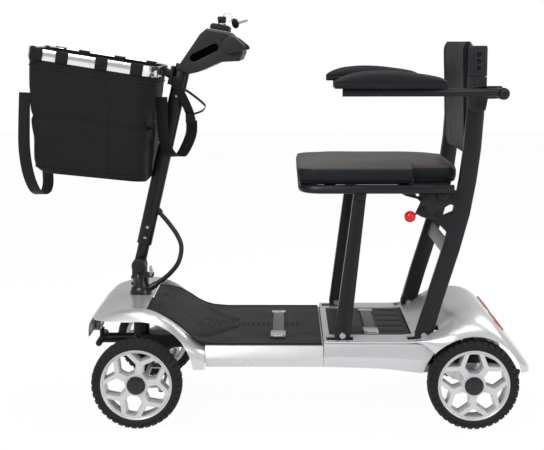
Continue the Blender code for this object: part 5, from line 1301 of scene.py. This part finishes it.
def basket_rim():
    """Bright band with rolled edges and black cloth loops that hang the bag on it."""
    path = basket_ring(RIM_BACK, BASKET_LENGTH, BASKET_HALF, RIM_AHEAD, 0.042)
    outline = [(0.0120, -0.0018), (0.0120, 0.0014), (0.0104, 0.0030), (0.0088, 0.0016), (0.0, 0.0008),
               (-0.0088, 0.0016), (-0.0104, 0.0030), (-0.0120, 0.0014), (-0.0120, -0.0018),
               (-0.0100, -0.0032), (0.0, -0.0020), (0.0100, -0.0032)]
    band = Form().sweep(path, outline, RIM_UP, closed=True)
    piece(band, "basket_band", "tiller", "bright_aluminium", "basket_rim", angle=50.0)
    loops = Form()
    outline = oval(BAND_H + 0.0042, 0.0102, 0.0040, 4)
    cuffs = ((-LOOP_HALF, 0.93), (-0.0125, 1.0), (-0.004, 0.985), (0.004, 1.0), (0.0125, 1.0),
             (LOOP_HALF, 0.93))
    for side in FLANKS:
        for reach in (0.040, 0.118, 0.205, 0.262):
            middle = RIM_BACK + RIM_AHEAD * reach + Vector((0.0, side * BASKET_HALF, 0.0))
            loops.loft([[middle + RIM_AHEAD * along + RIM_UP * (a * grow) + Vector((0, b * grow, 0))
                         for a, b in outline] for along, grow in cuffs])
    for y in (-0.085, 0.085):
        middle = RIM_BACK + RIM_AHEAD * BASKET_LENGTH + Vector((0.0, y, 0.0))
        loops.loft([[middle + Vector((0, along, 0)) + RIM_UP * a + RIM_AHEAD * b for a, b in outline]
                    for along in (-LOOP_HALF, 0.0, LOOP_HALF)])
    piece(loops, "basket_loops", "tiller", "black_nylon", angle=45.0)


def bag_ring(depth, shrink):
    """Ring of the bag at a depth from 0 at the rim to 1 at its floor, with sag and folds."""
    top = RIM_BACK - RIM_UP * (BAND_H / 2 - 0.004)
    floor = top - Vector((0.026, 0.0, 0.236))
    low_ahead = Vector((-math.cos(0.10), 0.0, math.sin(0.10)))
    marks = [(0.0, 0.0, 0.0, 0.042), (0.5, -0.012, 0.001, 0.046), (0.9, -0.030, -0.003, 0.044),
             (0.97, -0.036, -0.006, 0.042), (1.0, -0.050, -0.014, 0.036)]
    for (d0, l0, h0, c0), (d1, l1, h1, c1) in zip(marks, marks[1:]):
        if depth <= d1:
            t = (depth - d0) / (d1 - d0)
            grow, wide, corner = l0 + (l1 - l0) * t, h0 + (h1 - h0) * t, c0 + (c1 - c0) * t
            break
    ahead = RIM_AHEAD.lerp(low_ahead, min(1.0, depth)).normalized()
    back = top.lerp(floor, depth) + ahead * shrink
    ring = basket_ring(back, BASKET_LENGTH + grow - 2 * shrink, BASKET_HALF + wide - shrink, ahead, corner)
    centre = sum(ring, Vector()) / len(ring)
    soft = []
    for p in ring:
        out = Vector((p.x - centre.x, p.y - centre.y, 0.0)).normalized()
        sway = math.sin(math.pi * min(1.0, depth)) ** 0.6
        fold = ripple((p.x * 1.4, p.y * 1.4, p.z * 0.45), 13.0, BAG_SEED) * 0.0100 * sway
        slant = p.z * 1.6 + (p.x + p.y) * 0.8
        fold += (0.5 - abs(ripple((slant, p.y * 0.4, p.x * 0.4), 17.0, BAG_SEED + 2))) * 0.0052 * sway
        crease = -0.0048 * math.exp(-((depth - 0.46 - ripple(p, 5.0, 1.1) * 0.10) / 0.022) ** 2)
        soft.append(p + out * (fold + crease - 0.003 * sway))
    return soft


def bag_line(shift, side):
    """Points down one side of the bag, a distance forward of its back edge."""
    line = []
    for k in range(31):
        ring = bag_ring(0.02 + 0.95 * k / 30, 0.0)
        spot = RIM_BACK + RIM_AHEAD * shift - Vector((0.012, 0.0, 0.0)) * (k / 30)
        near = min((p for p in ring if p.y * side > 0.1), key=lambda p: abs(p.x - spot.x))
        line.append(near)
    return line


def basket_bag():
    """Cloth bag, open at the top, with a hem, a piped foot, side seams and a tab on each side."""
    depths = [0.0, 0.03, 0.06] + [0.06 + 0.84 * k / 26 for k in range(1, 27)] + [0.93, 0.96, 0.985, 1.0]
    outer = [bag_ring(d, 0.0) for d in depths]
    inner = [bag_ring(d, CLOTH) for d in depths]

    def closing(ring, lift):
        centre = sum(ring, Vector()) / len(ring)
        return [[p.lerp(centre, s) + Vector((0, 0, lift - 0.008 * s)) for p in ring]
                for s in (0.15, 0.5, 0.97)]

    rings = list(reversed(closing(outer[-1], 0.0))) + list(reversed(outer)) + inner
    rings += closing(inner[-1], 0.0030)
    piece(Form().loft(rings), "basket_cloth", "tiller", "black_nylon", "basket_bag", angle=60.0)
    trimmings = Form()
    hem = bag_ring(0.075, -0.0006)
    trimmings.sweep(hem, oval(0.004, 0.0016, 0.0007, 2), (0, 0, 1), closed=True)
    foot = bag_ring(0.955, -0.0004)
    trimmings.sweep(foot, circle(0.0016, 8), (0, 0, 1), closed=True)
    for side in FLANKS:
        trimmings.sweep(bag_line(SEAM_SHIFT, side), circle(0.0013, 8), (1, 0, 0))
        tab = [p + Vector((0, side * 0.0012, 0)) for p in bag_line(0.016, side)[11:19]]
        trimmings.sweep(tab, oval(0.024, 0.0022, 0.0009, 2), (1, 0, 0))
    piece(trimmings, "basket_seams", "tiller", "webbing", angle=50.0)


def band_along(form, points, width, thick, wide=(1.0, 0.0, 0.0)):
    """Flat webbing along a route; its width lies towards the given direction and twists a little."""
    path = curve_through(points, 6)
    rings = []
    for k, point in enumerate(path):
        ahead = (path[min(k + 1, len(path) - 1)] - path[max(k - 1, 0)]).normalized()
        across = (Vector(wide) - ahead * ahead.dot(Vector(wide))).normalized()
        out = ahead.cross(across)
        turn = ripple(point, 9.0, 6.1) * 0.14
        side = across * math.cos(turn) + out * math.sin(turn)
        face = ahead.cross(side)
        rings.append([point + side * a + face * b for a, b in oval(width, thick, thick * 0.45, 2)])
    return form.loft(rings)


def from_axle(points):
    """Points measured back from the front axle."""
    return [Vector((XF + x, y, z)) for x, y, z in points]


STRAP_W = 0.026
STRAP_T = 0.0018
BELT_T = 0.0017
FRONT_STRAP = from_axle([(-0.2508, -0.118, 0.735), (-0.2535, -0.121, 0.670), (-0.2545, -0.122, 0.610),
                         (-0.2500, -0.112, 0.556), (-0.2430, -0.085, 0.517), (-0.2390, -0.045, 0.500),
                         (-0.2380, 0.0, 0.496)])
REAR_STRAP = from_axle([(0.0475, -0.060, 0.722), (0.0480, -0.060, 0.680), (0.0500, -0.056, 0.635),
                        (0.0570, -0.042, 0.602), (0.0680, -0.026, 0.587), (0.0830, 0.0, 0.584),
                        (0.0960, 0.018, 0.604), (0.1070, 0.026, 0.634), (0.1085, 0.022, 0.664)])
STEM_BELT = from_axle([(0.0660, -0.0215, 0.7640), (0.0810, -0.0215, 0.7400), (0.0950, -0.0215, 0.7130),
                       (0.1060, -0.019, 0.6870), (0.1095, -0.006, 0.6690), (0.1085, 0.010, 0.6620)])
BELT_LOOP = from_axle([(0.0930, 0.0215, 0.7360), (0.1120, 0.0215, 0.7230), (0.1330, 0.021, 0.7060),
                       (0.1405, 0.020, 0.6960), (0.1330, 0.019, 0.6860), (0.1130, 0.018, 0.6790),
                       (0.0960, 0.0195, 0.6760)])
BUCKLE = from_axle([(0.098, -0.0235, 0.662), (0.119, -0.0195, 0.682)])


def basket_straps():
    """Carrying loop at the front, the loop round the stem and the belt that ties the bag to it."""
    loop = FRONT_STRAP + [Vector((p.x, -p.y, p.z)) for p in reversed(FRONT_STRAP[:-1])]
    for end, points in (("front", loop), ("rear", REAR_STRAP)):
        form = band_along(Form(), points, STRAP_W, STRAP_T)
        piece(form, "carry_strap_" + end, "tiller", "webbing", "basket_strap_" + end, angle=50.0)
    belt = band_along(Form(), STEM_BELT, 0.020, BELT_T)
    band_along(belt, BELT_LOOP, 0.018, BELT_T, wide=(0.0, 1.0, 0.2))
    belt.block(*BUCKLE)
    piece(belt, "stem_belt", "tiller", "webbing", angle=50.0)


# Cable hose

HOSE_R = 0.0055
HOSE_TOP = Vector((XF + 0.0349, 0.0, 0.4480))
HOSE_FOOT = Vector((XF + 0.0225, 0.0, 0.2800))
HOSE_DIR = Vector((0.62, 0.0, -0.78)).normalized()
FOOT_DIR = Vector((0.82, 0.0, 0.57)).normalized()
HOSE_LINE = [(0.0545, 0.4240), (0.0735, 0.3958), (0.0827, 0.3673), (0.0753, 0.3315), (0.0530, 0.3030)]


def cable_hose():
    """Sheathed cable from the stem's gland, bowed back, to the gland at the column's foot."""
    start = HOSE_TOP + HOSE_DIR * 0.0004
    end = HOSE_FOOT + FOOT_DIR * 0.0004
    route = [start, start + HOSE_DIR * 0.006] + [Vector((XF + x, 0.0, z)) for x, z in HOSE_LINE]
    route += [end + FOOT_DIR * 0.006, end]
    path = curve_through(route, 9)
    length = sum((b - a).length for a, b in zip(path, path[1:]))
    hose = Form().sweep(path, circle(HOSE_R, 18), (0, 1, 0))
    item = piece(hose, "cable_sheath", None, "gloss_black", "cable_hose", angle=60.0)
    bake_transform(item)


# Tiller

def torus(form, centre, axis, radius, wire, sides=36):
    """Wire ring."""
    across, up = frame_of(axis)
    path = [Vector(centre) + across * (radius * math.cos(t)) + up * (radius * math.sin(t))
            for t in [2 * math.pi * k / sides for k in range(sides)]]
    form.sweep(path, circle(wire, 8), axis, closed=True)


def keys():
    """Key in the lock with a moulded bow, a wire ring and the spare key on it."""
    lock = Vector((-0.125, 0.0, 0.8810))
    form = Form()
    form.coat = 1
    collar = [(0.0095, 0.0), (0.0095, 0.0052), (0.0086, 0.0066), (0.0030, 0.0066)]
    form.lathe(collar, lock, (0, 0, 1), 32)
    torus(form, (-0.1120, 0.0, 0.9000), (0.1, 1.0, 0.25), 0.0105, 0.0007)
    blade = ((-0.0860, 0.8885, 0.0068), (-0.0700, 0.8930, 0.0062), (-0.0650, 0.8945, 0.0030))
    form.loft([[(x, a, z + b) for a, b in oval(0.0020, w, 0.0004, 1)] for x, z, w in blade])
    form.coat = 0
    bow = ((0.8872, 0.013, 0.0062), (0.8890, 0.018, 0.0076), (0.8990, 0.0205, 0.0076),
           (0.9025, 0.0180, 0.0066))
    form.loft([[(lock.x + a, b, z) for a, b in oval(w, t, 0.0030, 4)] for z, w, t in bow])
    spare = [(0.0020, -0.0030), (0.0100, -0.0030), (0.0116, -0.0018), (0.0116, 0.0018), (0.0100, 0.0030),
             (0.0020, 0.0030)]
    form.lathe(spare, (-0.0945, 0.0, 0.8868), (0.75, 0.60, 0.24), 28)
    piece(form, "key_set", "key", ("gloss_black", "zinc_steel"), "ignition_key", angle=40.0)


STEM_HALF = 0.0150


def tiller_fittings():
    """Rivets on both sides of the stem's foot, and two screws higher on its left side."""
    form = Form()
    for along in (0.066, 0.092):
        for side in FLANKS:
            spot = HINGE + STEM_UP * along + Vector((0, side * STEM_HALF, 0))
            form.bolt(spot, (0, side, 0), 0.0036, 0.0016, False)
    for along in (0.405, 0.424):
        form.bolt(HINGE + STEM_UP * along + Vector((0, -STEM_HALF, 0)), (0, -1, 0), 0.0034, 0.0018)
    piece(form, "stem_rivets", "tiller", "zinc_steel", angle=FITTING_EDGE)


# Stage and camera

LAMPS = (("key_light", (-1.3, -2.2, 2.5), (1.8, 1.4), 60.0), ("rim_light", (1.9, 1.6, 2.0), (1.6, 1.2), 34.0),
         ("side_light", (2.2, -1.8, 1.2), (1.4, 1.4), 20.0), ("top_light", (0.1, 0.1, 2.7), (2.2, 1.6), 34.0))
LAMP_AIM = Vector((0.0, 0.0, 0.4))
CAMERA_LENS = 82.536
CAMERA_SPOT = (0.024, -2.8910, 0.8446)
CAMERA_TURN = (81.651, 0.095, 0.6825)
WHITE = (1.0, 1.0, 1.0, 1.0)


def stage():
    """Pale floor, soft light and the camera at the photograph's angle."""
    scene = bpy.context.scene
    scene.view_settings.view_transform = "Standard"
    floor = Form().block((-9.0, -9.0, -0.02), (9.0, 9.0, 0.0)).object("studio_floor")
    ground = Finish("studio_floor", (0.93, 0.93, 0.93), 0.9)
    path = ground.node("LightPath")
    outs = path.socket.node.outputs
    seen = Link(ground, outs["Is Camera Ray"]).high(Link(ground, outs["Is Glossy Ray"]))
    glow = ground.node("Emission", None, {"Color": WHITE, "Strength": 1.0})
    output = ground.tree.nodes["Material Output"]
    base = Link(ground, ground.shader.outputs[0])
    keep = ground.node("MixShader", None, {0: seen * 0.97, 1: base, 2: glow})
    ground.put({"Surface": keep}, output)
    floor.data.materials.append(ground.material)
    world = bpy.data.worlds.new("studio")
    scene.world = world
    world.use_nodes = True
    nodes = world.node_tree.nodes
    links = world.node_tree.links
    sky = nodes["Background"]
    sky.inputs["Color"].default_value = WHITE
    sky.inputs["Strength"].default_value = look().fill
    clear = nodes.new("ShaderNodeBackground")
    clear.inputs["Color"].default_value = WHITE
    clear.inputs["Strength"].default_value = 1.0
    mix = nodes.new("ShaderNodeMixShader")
    rays = nodes.new("ShaderNodeLightPath")
    links.new(rays.outputs["Is Camera Ray"], mix.inputs[0])
    links.new(sky.outputs[0], mix.inputs[1])
    links.new(clear.outputs[0], mix.inputs[2])
    links.new(mix.outputs[0], nodes["World Output"].inputs["Surface"])
    for name, spot, size, power in LAMPS:
        data = bpy.data.lights.new(name, "AREA")
        data.shape = "RECTANGLE"
        data.size, data.size_y = size
        data.energy = power * look().light
        lamp = bpy.data.objects.new(name, data)
        scene.collection.objects.link(lamp)
        lamp.location = spot
        lamp.rotation_euler = (LAMP_AIM - Vector(spot)).to_track_quat("-Z", "Y").to_euler()
    data = bpy.data.cameras.new("photo_camera")
    data.lens = CAMERA_LENS
    data.sensor_width = 36.0
    camera = bpy.data.objects.new("photo_camera", data)
    scene.collection.objects.link(camera)
    camera.location = CAMERA_SPOT
    camera.rotation_euler = [math.radians(a) for a in CAMERA_TURN]
    scene.camera = camera


# Sizes and colours a user would change

def colour(label, about, default):
    return bpy.props.FloatVectorProperty(name=label, description=about, default=default, size=3,
                                         min=0.0, max=1.0, subtype="COLOR")


def distance(label, about, default, least):
    return bpy.props.FloatProperty(name=label, description=about, default=default, min=least,
                                   subtype="DISTANCE", unit="LENGTH")


class ScooterLook(bpy.types.PropertyGroup):
    """Colours and light."""
    silver: colour("Body silver", "Metallic paint of the shells", (0.66, 0.66, 0.675))
    silver_deep: colour("Body silver, deep", "Darker flakes in the paint", (0.56, 0.56, 0.58))
    wheel: colour("Wheel silver", "Cast wheels", (0.60, 0.605, 0.615))
    frame: colour("Frame black", "Powder coat of tubes and plates", (0.0085, 0.0090, 0.0105))
    plastic: colour("Plastic black", "Moulded covers", (0.0115, 0.0120, 0.0140))
    rubber: colour("Rubber", "Tyres and floor mat", (0.0105, 0.0108, 0.0112))
    # The seat top's vinyl is lighter and warmer than the back vinyl to paint the light falling on the top;
    # the darker vinyl paints shade on the seat's sides.
    vinyl: colour("Seat vinyl", "Top of the seat", (0.044, 0.039, 0.038))
    vinyl_side: colour("Back vinyl", "Backrest, arm pads and sides of the seat", (0.0088, 0.0096, 0.0114))
    nylon: colour("Nylon", "Basket cloth and straps", (0.0062, 0.0062, 0.0070))
    red: colour("Red", "Lever ball", (0.72, 0.004, 0.010))
    fill: bpy.props.FloatProperty(name="Fill", description="Light from all round", default=0.42, min=0.0)
    light: bpy.props.FloatProperty(name="Lamps", description="Scale of the lamps", default=1.0, min=0.0)


class ScooterTrim(bpy.types.PropertyGroup):
    """Counts and small sizes."""
    tread_blocks: bpy.props.IntProperty(name="Tread blocks", description="Blocks on each tyre shoulder",
                                        default=40, min=8)
    rib_pitch: distance("Rib pitch", "Distance between mat ribs", 0.0062, 0.003)
    stitch: distance("Stitch", "Length of one stitch", 0.0042, 0.001)


class SCOOTER_OT_stage(bpy.types.Operator):
    """Floor, light and camera"""
    bl_idname = "scooter.stage"
    bl_label = "Stage"

    def execute(self, context):
        stage()
        return {"FINISHED"}


class SCOOTER_OT_finishes(bpy.types.Operator):
    """Procedural materials"""
    bl_idname = "scooter.finishes"
    bl_label = "Finishes"

    def execute(self, context):
        paint_finishes()
        soft_finishes()
        return {"FINISHED"}


class SCOOTER_OT_hose(bpy.types.Operator):
    """Hose from the stem to the column"""
    bl_idname = "scooter.hose"
    bl_label = "Cable hose"

    def execute(self, context):
        cable_hose()
        return {"FINISHED"}


class SCOOTER_OT_carried(bpy.types.Operator):
    """Finish the pieces kept from the frame"""
    bl_idname = "scooter.carried"
    bl_label = "Frame pieces"

    def execute(self, context):
        carried_nodes()
        return {"FINISHED"}


class SCOOTER_OT_shells(bpy.types.Operator):
    """Painted panels and lamps"""
    bl_idname = "scooter.shells"
    bl_label = "Body shells"

    def execute(self, context):
        front_fairing()
        mid_body()
        rear_tub()
        rear_cover()
        return {"FINISHED"}


class SCOOTER_OT_floor(bpy.types.Operator):
    """Ribbed mat and straps"""
    bl_idname = "scooter.floor"
    bl_label = "Floor"

    def execute(self, context):
        deck_mat()
        straps()
        return {"FINISHED"}


class SCOOTER_OT_wheels(bpy.types.Operator):
    """Tyres, cast rims and caps"""
    bl_idname = "scooter.wheels"
    bl_label = "Wheels"

    def execute(self, context):
        wheels()
        return {"FINISHED"}


class SCOOTER_OT_seat(bpy.types.Operator):
    """Cushion, backrest, arm pads and their fittings"""
    bl_idname = "scooter.seat"
    bl_label = "Seat"

    def execute(self, context):
        seat_cushion()
        backrest()
        arm_pads()
        seat_fittings()
        post_heads()
        lever_knob()
        return {"FINISHED"}


class SCOOTER_OT_basket(bpy.types.Operator):
    """Rim, cloth bag and straps"""
    bl_idname = "scooter.basket"
    bl_label = "Basket"

    def execute(self, context):
        basket_rim()
        basket_bag()
        basket_straps()
        return {"FINISHED"}


class SCOOTER_OT_tiller(bpy.types.Operator):
    """Keys and small fittings of the tiller"""
    bl_idname = "scooter.tiller"
    bl_label = "Tiller"

    def execute(self, context):
        keys()
        hinge_wheel()
        tiller_fittings()
        return {"FINISHED"}


STEPS = [SCOOTER_OT_stage, SCOOTER_OT_finishes, SCOOTER_OT_hose, SCOOTER_OT_carried,
         SCOOTER_OT_shells, SCOOTER_OT_floor, SCOOTER_OT_wheels, SCOOTER_OT_seat,
         SCOOTER_OT_basket, SCOOTER_OT_tiller]


class SCOOTER_PT_panel(bpy.types.Panel):
    """Sidebar list of the steps."""
    bl_label = "Mobility Scooter"
    bl_space_type = "VIEW_3D"
    bl_region_type = "UI"
    bl_category = "Scooter"

    def draw(self, context):
        for group in (look(), trim()):
            for key in group.__annotations__:
                self.layout.prop(group, key)
        for made in STEPS:
            self.layout.operator(made.bl_idname)


CLASSES = [ScooterLook, ScooterTrim, *STEPS, SCOOTER_PT_panel]


def register():
    for made in CLASSES:
        bpy.utils.register_class(made)
    bpy.types.Scene.scooter_look = bpy.props.PointerProperty(type=ScooterLook)
    bpy.types.Scene.scooter_trim = bpy.props.PointerProperty(type=ScooterTrim)


def unregister():
    del bpy.types.Scene.scooter_trim
    del bpy.types.Scene.scooter_look
    for made in reversed(CLASSES):
        bpy.utils.unregister_class(made)


def main():
    register()
    bpy.ops.scooter.stage()
    bpy.ops.scooter.finishes()
    bpy.ops.scooter.hose()
    bpy.ops.scooter.carried()
    bpy.ops.scooter.shells()
    bpy.ops.scooter.floor()
    bpy.ops.scooter.wheels()
    bpy.ops.scooter.seat()
    bpy.ops.scooter.basket()
    bpy.ops.scooter.tiller()


if __name__ == "__main__":
    main()
